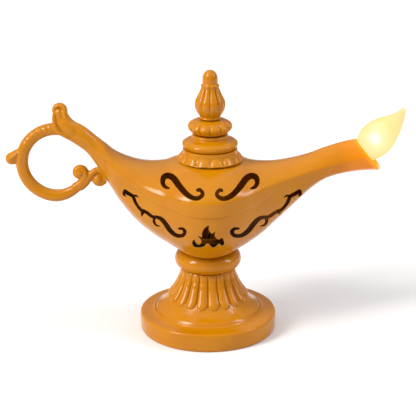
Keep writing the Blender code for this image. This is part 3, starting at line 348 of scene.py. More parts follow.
class Nodes:
    """A material and short ways to add nodes to it."""

    def __init__(self, name):
        self.material = bpy.data.materials.new(name)
        self.material.use_nodes = True
        self.tree = self.material.node_tree
        self.shader = self.tree.nodes["Principled BSDF"]
        self.place = self.add("ShaderNodeTexCoord").outputs["Object"]

    def add(self, kind, inputs=(), **settings):
        """A node with its settings; an input is a value, or an output that it is linked to."""
        node = self.tree.nodes.new(kind)
        for key, value in settings.items():
            setattr(node, key, value)
        for key, value in dict(inputs).items():
            if isinstance(value, bpy.types.NodeSocket):
                self.tree.links.new(value, node.inputs[key])
            else:
                node.inputs[key].default_value = value
        return node

    def feed(self, socket, output):
        self.tree.links.new(output, self.shader.inputs[socket])

    def set(self, **values):
        for key, value in values.items():
            self.shader.inputs[key.replace("_", " ")].default_value = value

    def noise(self, scale, detail, stretch=(1, 1, 1)):
        place = self.add("ShaderNodeMapping", {"Vector": self.place, "Scale": stretch})
        node = self.add("ShaderNodeTexNoise", {"Vector": place.outputs["Vector"], "Scale": scale,
                                               "Detail": detail})
        return node.outputs["Fac"]

    def ramp(self, value, stops, smooth=False):
        """A colour for each value: stops are places and linear colours."""
        node = self.add("ShaderNodeValToRGB", {"Fac": value})
        node.color_ramp.interpolation = "EASE" if smooth else "LINEAR"
        while len(node.color_ramp.elements) < len(stops):
            node.color_ramp.elements.new(0.5)
        for element, (place, colour) in zip(node.color_ramp.elements, stops):
            element.position = place
            element.color = (*colour, 1)
        return node.outputs["Color"]

    def spread(self, value, low, high, to_low=0.0, to_high=1.0):
        node = self.add("ShaderNodeMapRange", {"Value": value, "From Min": low, "From Max": high,
                                               "To Min": to_low, "To Max": to_high})
        return node.outputs["Result"]

    def clouded(self, low, high, scale, detail, stretch=(1, 1, 1)):
        """Base colour that drifts between two colours."""
        self.feed("Base Color", self.ramp(self.noise(scale, detail, stretch), ((0.3, low), (0.7, high))))

    def roughened(self, low, high, scale, stretch=(1, 1, 1)):
        """Roughness that drifts between two values."""
        self.feed("Roughness", self.spread(self.noise(scale, 2, stretch), 0.3, 0.7, low, high))

    def distance(self, point, stretch=(1, 1, 1)):
        """Distance in mm from a point of the lamp, longer along stretched directions."""
        start = (AXIS_X / MM + point[0], point[1], point[2])
        node = self.add("ShaderNodeMapping", {
            "Vector": self.place, "Scale": [share / MM for share in stretch],
            "Location": [-a * b for a, b in zip(start, stretch)]}, vector_type="POINT")
        length = self.add("ShaderNodeVectorMath", {0: node.outputs["Vector"]}, operation="LENGTH")
        return length.outputs["Value"]

    def along(self, direction, point, low, high):
        """Share from low to high, in mm, that each place lies beyond a point in a direction."""
        node = self.add("ShaderNodeVectorMath", {0: self.place, 1: Vector(direction) / MM},
                        operation="DOT_PRODUCT")
        start = Vector((AXIS_X / MM + point[0], point[1], point[2])).dot(direction)
        return self.spread(node.outputs["Value"], start + low, start + high)

    def mixed(self, kind, first, second):
        node = self.add("ShaderNodeMix", {"Factor": 1.0, 6: first, 7: second}, data_type="RGBA",
                        blend_type=kind)
        return node.outputs[2]

    def bump(self, height, distance, strength, edge=0.0):
        """Fine relief over the surface, and softened edges where a radius is given."""
        inputs = {"Height": height, "Strength": strength, "Distance": distance * MM}
        if edge:
            soft = self.add("ShaderNodeBevel", {"Radius": edge * MM}, samples=6)
            inputs["Normal"] = soft.outputs["Normal"]
        self.feed("Normal", self.add("ShaderNodeBump", inputs).outputs["Normal"])


# Materials

def gold_plastic(name, painted_glow=False, edge=0.35):
    """Moulded orange gold plastic, glossy and a little cloudy, optionally with a painted glow: emission
    near the mouth that stands in for the flame's light on the spout and lip.
    """
    made = Nodes(name)
    made.clouded((0.45, 0.158, 0.0), (0.5, 0.188, 0.0), 55, 4)
    made.roughened(0.16, 0.22, 240)
    made.bump(made.noise(150, 1), 0.02, 0.5, edge=edge)
    made.set(Subsurface_Weight=0.1, Subsurface_Radius=(1.0, 0.3, 0.03), Subsurface_Scale=0.002,
             Specular_IOR_Level=0.3)
    if painted_glow:
        # Painted glow: emission that fades with distance from the mouth stands in for the flame's light
        # on the spout, and the rim ramp paints a brighter glow on the lip
        away = made.distance(MOUTH)
        light = made.ramp(made.spread(away, 0, 36), (
            (0.0, (0.4, 0.09, 0.0)), (0.25, (0.28, 0.045, 0.0)), (0.5, (0.07, 0.008, 0.0)),
            (1.0, (0.0, 0.0, 0.0))), smooth=True)
        rim = made.ramp(made.along(MOUTH_OUT, MOUTH, -3.6, 1.0), (
            (0.0, (0.0, 0.0, 0.0)), (0.5, (0.05, 0.012, 0.0)), (0.75, (0.24, 0.11, 0.0)),
            (1.0, (0.36, 0.2, 0.0))))
        made.feed("Emission Color", made.mixed("ADD", light, rim))
        made.set(Emission_Strength=1.0)
    return made.material


def plain_plastic(name, low, high, roughness, grain=900, depth=0.03):
    made = Nodes(name)
    made.clouded(low, high, 120, 3)
    made.roughened(roughness - 0.05, roughness + 0.06, 300)
    made.bump(made.noise(grain, 3), depth, 0.8, edge=0.15)
    return made.material


def plated_steel(name):
    made = Nodes(name)
    made.clouded((0.42, 0.42, 0.44), (0.62, 0.62, 0.63), 260, 3, (1, 1, 6))
    made.roughened(0.22, 0.42, 700, (1, 1, 8))
    made.bump(made.noise(1500, 2, (1, 1, 10)), 0.01, 0.6, edge=0.1)
    made.set(Metallic=1.0)
    return made.material


def flame_plastic():
    """Frosted lens lit from inside: white near the lamp in it, then pale yellow and amber."""
    made = Nodes("frosted_flame")
    away = made.distance(on_flame_axis(9.4, 2.6), (1, 0.1, 1))
    warm = made.ramp(made.spread(away, 0, 24), (
        (0.0, (1.0, 1.0, 0.98)), (0.07, (1.0, 1.0, 0.9)), (0.17, (0.98, 0.93, 0.48)),
        (0.4, (0.94, 0.84, 0.34)), (0.72, (0.92, 0.76, 0.34)), (1.0, (1.0, 0.92, 0.55))), smooth=True)
    cloud = made.ramp(made.noise(80, 2, (1, 1, 0.6)), ((0.35, (0.9, 0.87, 0.84)), (0.65, (1, 1, 1))))
    lit = made.mixed("MULTIPLY", warm, cloud)
    rim = made.add("ShaderNodeLayerWeight", {"Blend": 0.35})
    edge = made.ramp(rim.outputs["Facing"], ((0.3, (1, 1, 1)), (0.72, (1.0, 0.84, 0.56)),
                                             (0.93, (0.96, 0.62, 0.24))))
    made.feed("Emission Color", made.mixed("MULTIPLY", lit, edge))
    made.set(Base_Color=(0.1, 0.07, 0.02, 1), Roughness=0.35, Emission_Strength=0.97,
             Specular_IOR_Level=0.25)
    made.bump(made.noise(500, 2), 0.02, 0.4)
    return made.material


GOLD = gold_plastic("gold_plastic_moulded")
GOLD_PAINTED_GLOW = gold_plastic("gold_plastic_painted_glow", painted_glow=True)
GOLD_FINE = gold_plastic("gold_plastic_fine", edge=0.2)


def piece(item, *nodes, material=GOLD_FINE, body="lamp", slot="gold_plastic", sharp=38):
    """Give a mesh its material and its body, and hide the CAD nodes it stands for."""
    item.data.materials.clear()
    item.data.materials.append(material)
    for face in item.data.polygons:
        face.use_smooth = True
        face.material_index = 0
    item.data.set_sharp_from_angle(angle=radians(sharp))
    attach(item, body)
    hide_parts(*nodes)


# Body form

def slope(i, column):
    before, after = SECTIONS[max(i - 1, 0)], SECTIONS[min(i + 1, len(SECTIONS) - 1)]
    return (after[column] - before[column]) / (after[0] - before[0])


def body_size(x, column):
    """A column of the sections at x, on a smooth curve through its rows."""
    for i in range(len(SECTIONS) - 1):
        if x <= SECTIONS[i + 1][0] or i == len(SECTIONS) - 2:
            break
    span = SECTIONS[i + 1][0] - SECTIONS[i][0]
    t = share_of(x, SECTIONS[i][0], SECTIONS[i + 1][0])
    start, end = SECTIONS[i][column], SECTIONS[i + 1][column]
    rise, fall = slope(i, column) * span, slope(i + 1, column) * span
    return ((2 * t ** 3 - 3 * t ** 2 + 1) * start + (t ** 3 - 2 * t ** 2 + t) * rise
            + (3 * t ** 2 - 2 * t ** 3) * end + (t ** 3 - t ** 2) * fall)


def faceted(angle, share):
    """Sine and cosine of an angle, drawn towards two flat facets by a share."""
    knots = (0.0, FACET_CORNER, pi / 2)
    low = 0 if angle < knots[1] else 1
    t = (angle - knots[low]) / (knots[low + 1] - knots[low])
    flat_s = sin(knots[low]) * (1 - t) + sin(knots[low + 1]) * t
    flat_c = cos(knots[low]) * (1 - t) + cos(knots[low + 1]) * t
    return (sin(angle) * (1 - share) + flat_s * share,
            cos(angle) * (1 - share) + flat_c * share)


def half_ring(x, inset=0.0, band=True, steps=22):
    """Half of the body's outline at x, from the top round to the bottom, as depth and height."""
    half, side, top, bottom = (body_size(x, column) for column in (1, 2, 3, 4))
    half, top, bottom = half - inset, top - inset, bottom + inset
    fade = max(1.0 - (x / BAND_REACH) ** 2, 0.0)
    drop = max(BAND_H * fade, 0.4)
    step = max(BAND_STEP * fade, 0.05) if band else 0.0
    flat = share_of(abs(x), *FACET_SPAN) * FACET_SHARE if band else 0.0
    crown = CROWN_SHARE * min(1.0, fade + 0.2) if band else 0.0
    # Both die away towards the handle
    calm = share_of(x, *CALM_SPAN)
    flat, crown = flat * calm, crown * calm
    outline = []
    for i in range(steps):
        angle = pi / 2 * i / (steps - 1)
        s, c = faceted(angle, flat)
        c = c * (1 - crown) + (1 - s * s) * crown
        outline.append((half * s, side + (top - side) * c * (1 + 0.05 * crown)))
    if band:
        for share in (0.08, 0.5, 0.92):
            outline.append((half - 0.4 * step * share, side - drop * share))
        outline.append((half - 0.45 * step, side - drop))
        outline.append((half - 0.8 * step, side - drop - 0.25 * step))
    start = side - drop - step * 0.4
    for i in range(steps + 1):
        angle = pi / 2 * i / steps
        s, c = faceted(angle, flat)
        outline.append(((half - step) * c, start - (start - bottom) * s))
    floor = BOWL_SEAT_Z + inset
    return [(max(y, 0.0), max(z, floor)) for y, z in outline]


def stations(first, last, pitch):
    count = max(2, round((last - first) / pitch))
    return [first + (last - first) * i / count for i in range(count + 1)]


def body_side(name, side, first, last=BODY_END_X, inset=0.0):
    """A closed solid over one half of the body: side -1 is the front, 1 is the back."""
    return lofted(name, [[(x, side * max(y, SEAM / 2), z) for y, z in half_ring(x, inset)]
                         for x in stations(first, last, BODY_PITCH)])


def whole_ring(x, half):
    """The whole outline at x from its half."""
    return [(x, y, z) for y, z in half] + [(x, -y, z) for y, z in half[-2:0:-1]]


def body_void(name, inset, first, last, pitch=4.0):
    """A closed solid inside the body's form, without its band."""
    return lofted(name, [whole_ring(x, half_ring(x, inset, band=False, steps=9))
                         for x in stations(first, last, pitch)])


def square(reach):
    """Corners of a square round its middle, in turn."""
    return (-reach, -reach), (reach, -reach), (reach, reach), (-reach, reach)


def mouth_slab(name, low, high):
    """A wide plate square to the spout's mouth, from low to high above its opening."""
    up = Vector((-MOUTH_OUT.z, 0, MOUTH_OUT.x))
    return lofted(name, [[MOUTH + MOUTH_OUT * rise + up * a + Vector((0, b, 0))
                          for a, b in square(PLATE_REACH)] for rise in (low, high)])


def mouth_edge():
    """Half of the body's outline where its mouth is cut, from the top round to the bottom."""
    places = stations(SPOUT_START_X, BODY_END_X, 1.0)
    outlines = [half_ring(x) for x in places]
    edge = []
    for k in range(len(outlines[0])):
        line = [Vector((x, *outline[k])) for x, outline in zip(places, outlines)]
        for a, b in zip(line, line[1:]):
            low, high = (a - MOUTH).dot(MOUTH_OUT), (b - MOUTH).dot(MOUTH_OUT)
            if low <= 0 < high:
                edge.append(a.lerp(b, -low / (high - low)))
                break
    kept = [edge[0]]
    for point in edge[1:-1]:
        if min((point - kept[-1]).length, (point - edge[-1]).length) > LIP_SPACING:
            kept.append(point)
    return kept + [edge[-1]]


def mouth_lip(name, side):
    """Half of the rounded lip of the spout, thicker towards its lowest point."""
    edge = [Vector((p.x, side * max(p.y, SEAM / 2), p.z)) for p in mouth_edge()]
    rings = []
    for i, point in enumerate(edge):
        ahead = way_ahead(edge, i).normalized()
        if i in (0, len(edge) - 1):
            ahead = Vector((0, side if i == 0 else -side, 0))
        inward = ahead.cross(MOUTH_OUT).normalized() * side
        radius = LIP_R + LIP_GROWTH * (i / (len(edge) - 1)) ** 1.8
        rings.append(circle(point + inward * (radius - 0.1), inward, MOUTH_OUT, radius, 20))
    return lofted(name, rings)


# Ornament

def on_drawing(point, near):
    """A point of the drawing seen from the camera, at a distance in front of the aim."""
    view = (AIM - CAMERA).normalized()
    right = Vector((1, 0, 0))
    up = right.cross(view)
    u = point[0] * DRAWING_UNIT - DRAWING_LEFT
    v = DRAWING_TOP - point[1] * DRAWING_UNIT
    mark = AIM + right * u + up * v
    reach = (AIM - CAMERA).length
    return CAMERA + (mark - CAMERA) * (reach - near) / reach


def ornament_cutter(name, outline, side, far=7.0):
    """A prism along the view over an outline, down to a distance in front of the aim."""
    rings = []
    for depth in (DRAWING_NEAR, far):
        ring = [on_drawing(point, depth) for point in outline]
        rings.append([(p.x, -side * p.y, p.z) for p in ring])
    return lofted(name, rings)


def ribbon(points, widths):
    """Outline of a band of changing width along a smooth centreline, with round ends."""
    line = smooth_points([(u, v, 0) for u, v in points], 6)
    breadths = smooth_values(widths, 6)
    left, right = [], []
    for i, (point, breadth) in enumerate(zip(line, breadths)):
        ahead = way_ahead(line, i)
        normal = Vector((-ahead.y, ahead.x, 0)).normalized() * breadth / 2
        left.append(point + normal)
        right.append(point - normal)
    outline = left + round_end(line[-1], line[-2], widths[-1]) + right[::-1]
    outline += round_end(line[0], line[1], widths[0])
    return [(point.x, point.y) for point in outline]


def round_end(tip, before, width):
    """Points round the end of a band, from one edge to the other."""
    out = (tip - before).normalized()
    across = Vector((-out.y, out.x, 0))
    return [tip + (across * cos(radians(a)) + out * sin(radians(a))) * width / 2
            for a in (30, 60, 90, 120, 150)]


def mirrored(outline, kind):
    """An outline of the left half as the right half repeats it."""
    axis, stretch, drop = MIRRORS[kind]
    return [(axis + (axis - u) * stretch, v + drop) for u, v in reversed(outline)]


def ribbon_cutters(side, kind):
    """Cutters of the left and right ribbons of one kind: the scrolls, or the vines and barbs."""
    forms = [(SCROLL, SCROLL_WIDTHS)] if kind == "scroll" else [(VINE, VINE_WIDTHS), *VINE_BARBS]
    cutters = []
    for points, widths in forms:
        outline = ribbon(points, widths)
        cutters += [ornament_cutter(kind, outline, side),
                    ornament_cutter(kind, mirrored(outline, kind), side)]
    return cutters


# Body shells

def make_shell(name, side):
    """Half shell of the bowl, neck and spout: side -1 is the front, 1 is the back."""
    void = body_void("void", WALL, NECK_END_X - WALL, VOID_END_X)
    combined(void, [cylinder("post", BOSS_R, (x, -THROUGH, z), (x, THROUGH, z))
                    for x, z in SHELL_SCREWS])
    shell = body_side(name, side, NECK_END_X)
    cutters = [void, mouth_slab("mouth", 0, THROUGH), *ribbon_cutters(side, "scroll")]
    marks = [*ribbon_cutters(side, "vine"),
             ornament_cutter("figure", smooth_outline(FLAME_FIGURE, 2), side, far=8.5)]
    if side < 0:
        cutters += marks
    else:
        combined(shell, marks)
        core = body_side("core", side, NECK_END_X + 1, VOID_END_X, inset=ENGRAVING)
        combined(shell, [core], "UNION")
    cutters += [
        cylinder("cup_hole", CUP_R + WALL + CLEARANCE, (LID_X, 0, 80), (LID_X, 0, 95), 96),
        cylinder("stem_hole", SPIGOT_R + CLEARANCE, (0, 0, 36), (0, 0, SPIGOT_TOP), 64)]
    for x, z in SHELL_SCREWS if side > 0 else ():
        cutters += [cylinder("sink", HEAD_SINK_R, (x, HEAD_SINK_Y, z), (x, THROUGH, z)),
                    cylinder("shank_hole", SHANK_HOLE_R, (x, -1, z), (x, 3.0, z))]
    combined(shell, cutters)
    combined(shell, [mouth_lip("lip", side)], "UNION")
    # The shells carry the painted glow of the flame's light near the mouth
    piece(shell, name, material=GOLD_PAINTED_GLOW)


# Pedestal and ring

def across_lobe(angle, count):
    """How far an angle lies from the middle of its lobe, of a number all round: 0 to 1."""
    turn = (angle + pi / 2) / (2 * pi) * count
    return abs(turn % 1 - 0.5) * 2


def make_pedestal():
    """Foot and flare in one turned piece, with round ended reeds standing on the flare."""
    flare = smooth_outline([(r - 0.5, z) for r, z in FLARE], 5)
    inner = FOOT_R - FOOT_RIM
    top = [(SPIGOT_R, SPIGOT_TOP, 0.6), (SPIGOT_R, NECK_Z - 0.4, 0.2), (13.2, NECK_Z - 0.4, 0.5)]
    foot = [(27.0, 11.3, 0.8), (27.9, 10.2, 0.8), (29.3, FOOT_H + 0.2, 0.9), (31.0, FOOT_H + 0.05),
            (33.4, FOOT_H, 0.5), (FOOT_R - 0.3, FOOT_H - 0.35, 0.45), (FOOT_R, FOOT_H - 1.4, 0.6),
            (FOOT_R, 5.0), (FOOT_R - 0.25, 0.7, 0.5), (FOOT_R - 0.9, 0.0, 0.4), (inner + 0.4, 0.0, 0.3),
            (inner, 0.6, 0.3), (inner, 7.4, 0.6), (24.8, 7.6, 0.6)]
    hollow = [(23.0, 11.6), (19.0, 16.5), (15.5, 21.5), (13.0, 26.5), (12.0, 29.5, 1.0),
              (7.2, NECK_Z - 2.0, 0.8), (7.2, SPIGOT_TOP, 0.4)]
    head = rounded(top)
    profile = head + flare + rounded(foot) + rounded(hollow)
    first, last = len(head), len(head) + len(flare)

    def relief(place, radius, z, angle):
        if not first <= place < last:
            return radius, z
        across = across_lobe(angle, REEDS)
        reed_end, straight_from = 16.2, 19.6
        end = max((straight_from - z) / (straight_from - reed_end), 0.0)
        top_fade = min(max((32.4 - z) / 6.0, 0.0), 1.0)
        fill = max(1.0 - across * across - end * end, 0.0)
        height = (0.75 + 0.75 * top_fade) * sqrt(fill)
        return radius + height * 0.86, z + height * 0.42 * min(1.0, (32 - z) / 10)

    piece(turned("reeded_pedestal", profile, steps=400, relief=relief), "pedestal")


def make_ring():
    """Rounded ring on the stem, tall enough to fill the gap under the bowl."""
    bore = SPIGOT_R + CLEARANCE
    profile = [(bore, 32.8)]
    for i in range(25):
        angle = radians(-92 + 184 * i / 24)
        profile.append((12.9 + 3.85 * cos(angle), 37.3 + 4.45 * sin(angle)))
    profile += [(bore, 41.8)]
    piece(turned("stem_ring_turned", profile, steps=144), "stem_ring")


# Handle

def spiral(centre, reaches, start, end, count):
    """Points of a spiral whose reach from its centre follows the given values."""
    steps = smooth_values(reaches, 8)
    points = []
    for i in range(count):
        share = i / (count - 1)
        reach = steps[round(share * (len(steps) - 1))]
        angle = radians(start + (end - start) * share)
        points.append(Vector((centre[0] + reach * cos(angle), 0,
                              centre[1] + reach * sin(angle))))
    return points


def drawn_tube(name, lead, coil, radii, flat):
    """A tube along a few lead points and then a coil, with radii spread evenly along it."""
    line = smooth_points([(x, 0, z) for x, z in lead] + coil[:1], 5)[:-1] + coil
    widths = smooth_values(radii, 12)
    spread_radii = [widths[round(i / (len(line) - 1) * (len(widths) - 1))] for i in range(len(line))]
    return tube(name, line, spread_radii, flat=flat)


def eased(value, low, high):
    """A share from 0 at low to 1 at high that starts and ends gently."""
    t = share_of(value, low, high)
    return t * t * (3 - 2 * t)


def loop_bar():
    """Bar of the ring: rope ripples on its upper left, a shallow groove along it, a thin end."""
    count = 240
    rings = []
    for i in range(count):
        turn = 58 + 258 * i / (count - 1)
        out = Vector((cos(radians(turn)), 0, sin(radians(turn))))
        thin = eased(turn, 262, 318)
        middle = Vector((LOOP[0], 0, LOOP[1])) + out * (LOOP_R - 1.3 * thin)
        rope = exp(-((turn - 122) / 26) ** 4)
        ring = []
        for angle in round_angles(40):
            side = abs((angle + pi) % (2 * pi) - pi)
            groove = exp(-((side - radians(102)) / 0.3) ** 2)
            ripple = sin(radians(turn) * 44 + 2 * side) * exp(-((side - 1.1) / 0.5) ** 2)
            radius = LOOP_BAR_R * (1 - 0.24 * thin) * (1 - 0.085 * groove) + 0.34 * rope * ripple
            offset = out * cos(angle) + Vector((0, -sin(angle), 0))
            ring.append(middle + offset * radius)
        rings.append(ring)
    return lofted("loop_bar", rings)


def ball(name, middle, size, turn=0.0):
    """A smooth egg round a middle point, with three half sizes and a turn about Y."""
    tilt = Matrix.Rotation(radians(turn), 3, "Y")
    rings = []
    for i in range(1, 20):
        polar = pi * i / 20
        ring = []
        for angle in round_angles(28):
            local = Vector((size[0] * cos(polar), size[1] * sin(polar) * cos(angle),
                            size[2] * sin(polar) * sin(angle)))
            ring.append(Vector(middle) + tilt @ local)
        rings.append(ring)
    return lofted(name, rings)


def surface_ridge(name, points, radii):
    """A thin raised line through points with their own depth."""
    line = smooth_points(points, 6)
    widths = smooth_values(radii, 6)
    rings = []
    for i, point in enumerate(line):
        ahead = way_ahead(line, i).normalized()
        side = ahead.cross(Vector((0, 1, 0))).normalized()
        up = ahead.cross(side).normalized()
        rings.append(circle(point, side, up, widths[i], 16))
    return lofted(name, rings)


def resampled(ring, count):
    """A ring again with an even number of points, by angle round its middle, from the top."""
    middle_z = (max(p[2] for p in ring) + min(p[2] for p in ring)) / 2
    marks = sorted((atan2(y, z - middle_z) % (2 * pi), x, y, z) for x, y, z in ring)
    result = []
    for angle in round_angles(count):
        after = next((m for m in marks if m[0] >= angle), marks[0])
        place = marks.index(after)
        before = marks[place - 1]
        span = (after[0] - before[0]) % (2 * pi) or 1.0
        t = ((angle - before[0]) % (2 * pi)) / span
        result.append(tuple(before[j] + (after[j] - before[j]) * t for j in (1, 2, 3)))
    return result


def scroll_parts():
    """The two curls that the ring ends in, with a thin web to the body."""
    return [
        drawn_tube("upper_curl", [(-66.6, 74.4), (-64.2, 75.7), (-62.2, 77.8), (-61.1, 80.0)],
                   spiral((-63.4, 82.1), (2.5, 2.35, 2.1, 1.4, 0.5), -18, 380, 60),
                   (2.1, 2.1, 1.9, 1.75, 1.7, 1.65, 1.55, 1.3), flat=1.15),
        ball("upper_end", (-63.7, 0, 82.2), (2.9, 2.7, 2.9)),
        drawn_tube("lower_curl", [(-64.0, 74.4), (-61.3, 76.4), (-59.7, 78.5), (-58.4, 80.6),
                                  (-57.0, 82.2)],
                   spiral((-54.1, 78.6), (4.9, 3.8, 2.7, 2.2, 2.0, 1.5, 0.6), 108, -300, 60),
                   (2.2, 1.9, 1.6, 1.45, 1.4, 1.45, 1.5, 1.4, 1.2), flat=1.1),
        ball("lower_end", (-54.3, 0, 78.5), (2.6, 2.3, 2.6)),
        ball("web", (-54.8, 0, 82.0), (2.4, 0.5, 1.6))]


def tongue_parts():
    """The tongue that stands up at the end of the arm, with its rolled tip and raised edges."""
    return [
        drawn_tube("tongue", [(-61.0, 98.6), (-64.6, 101.9), (-68.4, 105.2), (-71.2, 108.4)],
                   [Vector((-72.2, 0, 110.4)), Vector((-72.6, 0, 112.0))],
                   (2.6, 3.3, 3.9, 3.7, 3.0, 2.3), flat=1.15),
        ball("tip", (-72.7, 0, 113.0), (2.1, 2.9, 2.3)),
        drawn_tube("roll", [(-64.5, 106.2), (-67.4, 108.3), (-69.4, 110.8)],
                   spiral((-72.6, 114.0), (2.75, 2.7, 2.65, 2.6, 2.6), -22, 205, 50),
                   (1.2, 1.5, 1.3, 1.15, 1.1, 1.05, 1.0), flat=2.0),
        *both_sides("edge", ((-75.2, 1.6, 113.0), (-75.2, 2.2, 110.0), (-74.6, 3.1, 106.4),
                             (-72.6, 3.5, 103.6), (-69.6, 3.6, 101.6), (-66.2, 3.4, 99.9)),
                    (0.7, 1.0, 1.05, 1.0, 0.85, 0.4))]


def leaf_parts():
    """The leaf knob on the outer side of the ring."""
    return [
        ball("knob", (-96.9, 0, 89.4), (3.2, 2.7, 3.1), turn=-45),
        drawn_tube("stem", [(-91.2, 93.2), (-93.4, 92.0)],
                   [Vector((-95.2, 0, 90.7)), Vector((-96.3, 0, 89.9))], (1.9, 2.3, 2.6, 2.7), flat=0.95),
        *both_sides("vein", ((-98.5, 2.0, 89.3), (-97.1, 2.5, 90.2), (-95.2, 2.4, 91.5),
                             (-93.6, 2.2, 92.8)), (0.5, 0.8, 0.7, 0.4))]


def both_sides(name, points, radii):
    """The same raised line in front and behind."""
    return [surface_ridge(name, [(x, y * side, z) for x, y, z in points], radii) for side in (-1, 1)]


def make_handle():
    """Arm, ring, curls, tongue and knob in one skin, cut square at the neck, with its tenon."""
    arm = lofted("arm", [resampled(whole_ring(x, half_ring(x)), 64)
                         for x in stations(-70.5, -48.6, 1.25)])
    parts = [arm, loop_bar(), *scroll_parts(), *tongue_parts(), *leaf_parts()]
    handle = parts[0]
    for other in parts[1:]:
        handle.data = merged(handle, other)
    remesh = handle.modifiers.new("one_skin", "REMESH")
    remesh.mode = "VOXEL"
    remesh.voxel_size = VOXEL * MM
    smooth = handle.modifiers.new("moulded", "SMOOTH")
    smooth.factor = 0.5
    smooth.iterations = 5
    applied(handle)
    handle.name = "ring_handle"
    face = NECK_END_X - SEAM
    tenon = body_void("handle_tenon", WALL + CLEARANCE, NECK_END_X - 2.0, NECK_END_X + 9.0, 1.5)
    block = lofted("root_cut", [[(x, a, 85 + b) for a, b in square(PLATE_REACH)]
                                for x in (face, face + 20)])
    combined(handle, [block])
    combined(handle, [tenon], "UNION")
    x, z = SHELL_SCREWS[0]
    combined(handle, [cylinder("handle_bore", BOSS_R + CLEARANCE, (x, -20, z), (x, 20, z))])
    piece(handle, "handle", sharp=50)


def merged(first, second):
    """The meshes of two objects in one mesh; the second object is deleted."""
    bm = bmesh.new()
    bm.from_mesh(first.data)
    bm.from_mesh(second.data)
    mesh = bpy.data.meshes.new(first.name)
    bm.to_mesh(mesh)
    bm.free()
    bpy.data.objects.remove(second, do_unlink=True)
    return mesh


# Collar, lid and finial

def make_collar():
    """Cup under the lid with a flared skirt of petals over the top of the bowl."""
    wall = [(0.02, CUP_FLOOR_Z), (CUP_R, CUP_FLOOR_Z, 0.6), (CUP_R, 95.0, 0.3), (13.0, 95.0, 0.3),
            (13.5, 94.7)]
    skirt = [(13.5 + 1.9 * (i / 30) ** 1.9, 94.3 - 4.5 * i / 30) for i in range(1, 31)]
    under = [(16.15, 89.75, 0.15), (16.3, 89.5), (16.25, 89.3, 0.1), (14.6, 89.3), (14.4, 90.9),
             (11.4, 90.9), (11.4, 85.6, 0.3), (0.02, 85.3)]
    head = rounded(wall)
    profile = head + skirt + rounded(under)
    first, last = len(head), len(head) + len(skirt)

    def relief(place, radius, z, angle):
        if not first <= place < last:
            return radius, z
        across = across_lobe(angle, PETALS) / 0.94
        rise = (z - 89.8) / 3.2
        fill = 1 - across ** 2.6 - rise ** 2.2
        if fill > 0:
            return radius + 1.35 * sqrt(fill) - 0.12, z
        return radius - 0.16 * exp(fill * 5) + 0.04, z

    collar = turned("petal_collar", profile, steps=336, closed=False, centre=LID_X, relief=relief)
    piece(collar, "collar")


def make_lid():
    """Lid with a rim that goes into the collar's cup."""
    profile = rounded([
        (1.7, 102.05, 0.2), (7.9, 102.1, 0.3), (8.8, 101.9, 0.5), (9.0, 101.1, 0.5), (8.7, 100.4, 0.3),
        (9.6, 99.9, 0.5), (11.7, 99.3), (12.55, 98.9), (12.85, 98.5), (13.3, 98.35), (13.65, 97.9),
        (13.75, 97.2), (13.6, 96.5), (13.25, 95.9), (12.9, 95.5, 0.2), (12.6, 95.3), (9.3, 95.3, 0.1),
        (9.3, 89.2, 0.3), (7.8, 89.2, 0.3), (7.8, 98.6, 0.5), (1.7, 99.1, 0.2)])
    piece(turned("lid_turned", profile, centre=LID_X), "lid", body="lid")


def lobed(place_shares, lobes, depth, sharpness=1.0):
    """Relief of round lobes divided by narrow grooves, as deep as its share at each place."""

    def relief(place, radius, z, angle):
        wave = sqrt(max(1 - across_lobe(angle, lobes) ** 2, 0.0)) ** sharpness
        return radius - depth * place_shares[place] * (1 - wave), z

    return relief


def make_bead():
    """Flat bead of round lobes between the lid and the finial."""
    # Radius, height and how deep the grooves are there
    rows = ((1.7, 102.4, 0), (6.6, 102.4, 0), (7.7, 102.6, 0.1), (8.7, 103.1, 0.4), (9.8, 104.0, 0.7),
            (10.7, 105.1, 0.9), (11.1, 106.1, 1.0), (10.8, 107.0, 1.0), (9.9, 108.0, 0.9),
            (8.6, 108.8, 0.6), (7.4, 109.25, 0.3), (6.6, 109.45, 0.05), (5.6, 109.5, 0),
            (1.7, 109.5, 0))
    line = smooth_outline([row[:2] for row in rows[1:-1]], 4)
    shares = [0] + smooth_values([row[2] for row in rows[1:-1]], 4) + [0]
    profile = [rows[0][:2]] + line + [rows[-1][:2]]
    bead = turned("gadrooned_bead", profile, steps=288, centre=LID_X,
                  relief=lobed(shares, BEAD_LOBES, 1.1))
    piece(bead, "finial_bead", body="lid")


def make_finial():
    """Fluted baluster with a bullet knob, drilled for the lid's screw."""
    # Radius, height and how deep the grooves are there
    rows = ((4.6, 109.82, 0), (5.0, 110.0, 0), (5.2, 110.5, 0), (5.0, 111.1, 0), (5.6, 112.0, 0.1),
            (6.6, 113.5, 0.35), (7.3, 115.4, 0.7), (7.5, 117.2, 1), (7.2, 119.0, 1), (6.4, 120.8, 1),
            (5.5, 122.6, 1), (4.75, 124.3, 0.9), (4.35, 125.4, 0.7), (4.5, 126.1, 0.6),
            (4.45, 126.7, 0.4), (4.0, 127.15, 0.1), (3.75, 127.6, 0), (3.75, 128.4, 0),
            (3.75, 129.6, 0), (3.6, 130.8, 0), (3.25, 131.9, 0), (2.7, 132.8, 0), (1.9, 133.6, 0),
            (1.0, 134.0, 0), (0.15, 134.15, 0))
    shares = [max(share, 0) for share in smooth_values([row[2] for row in rows], 4)]
    profile = [(1.55, 117.0), (1.55, 109.82)] + smooth_outline([row[:2] for row in rows], 4)
    finial = turned("fluted_finial", profile, steps=240, closed=False, centre=LID_X,
                    relief=lobed([0, 0] + shares, FINIAL_FLUTES, 0.85, 1.3))
    piece(finial, "finial", body="lid")


# Flame and the plug behind it

def on_flame_axis(distance, side=0.0):
    return FLAME_FOOT + FLAME_AXIS * distance + FLAME_SIDE * side


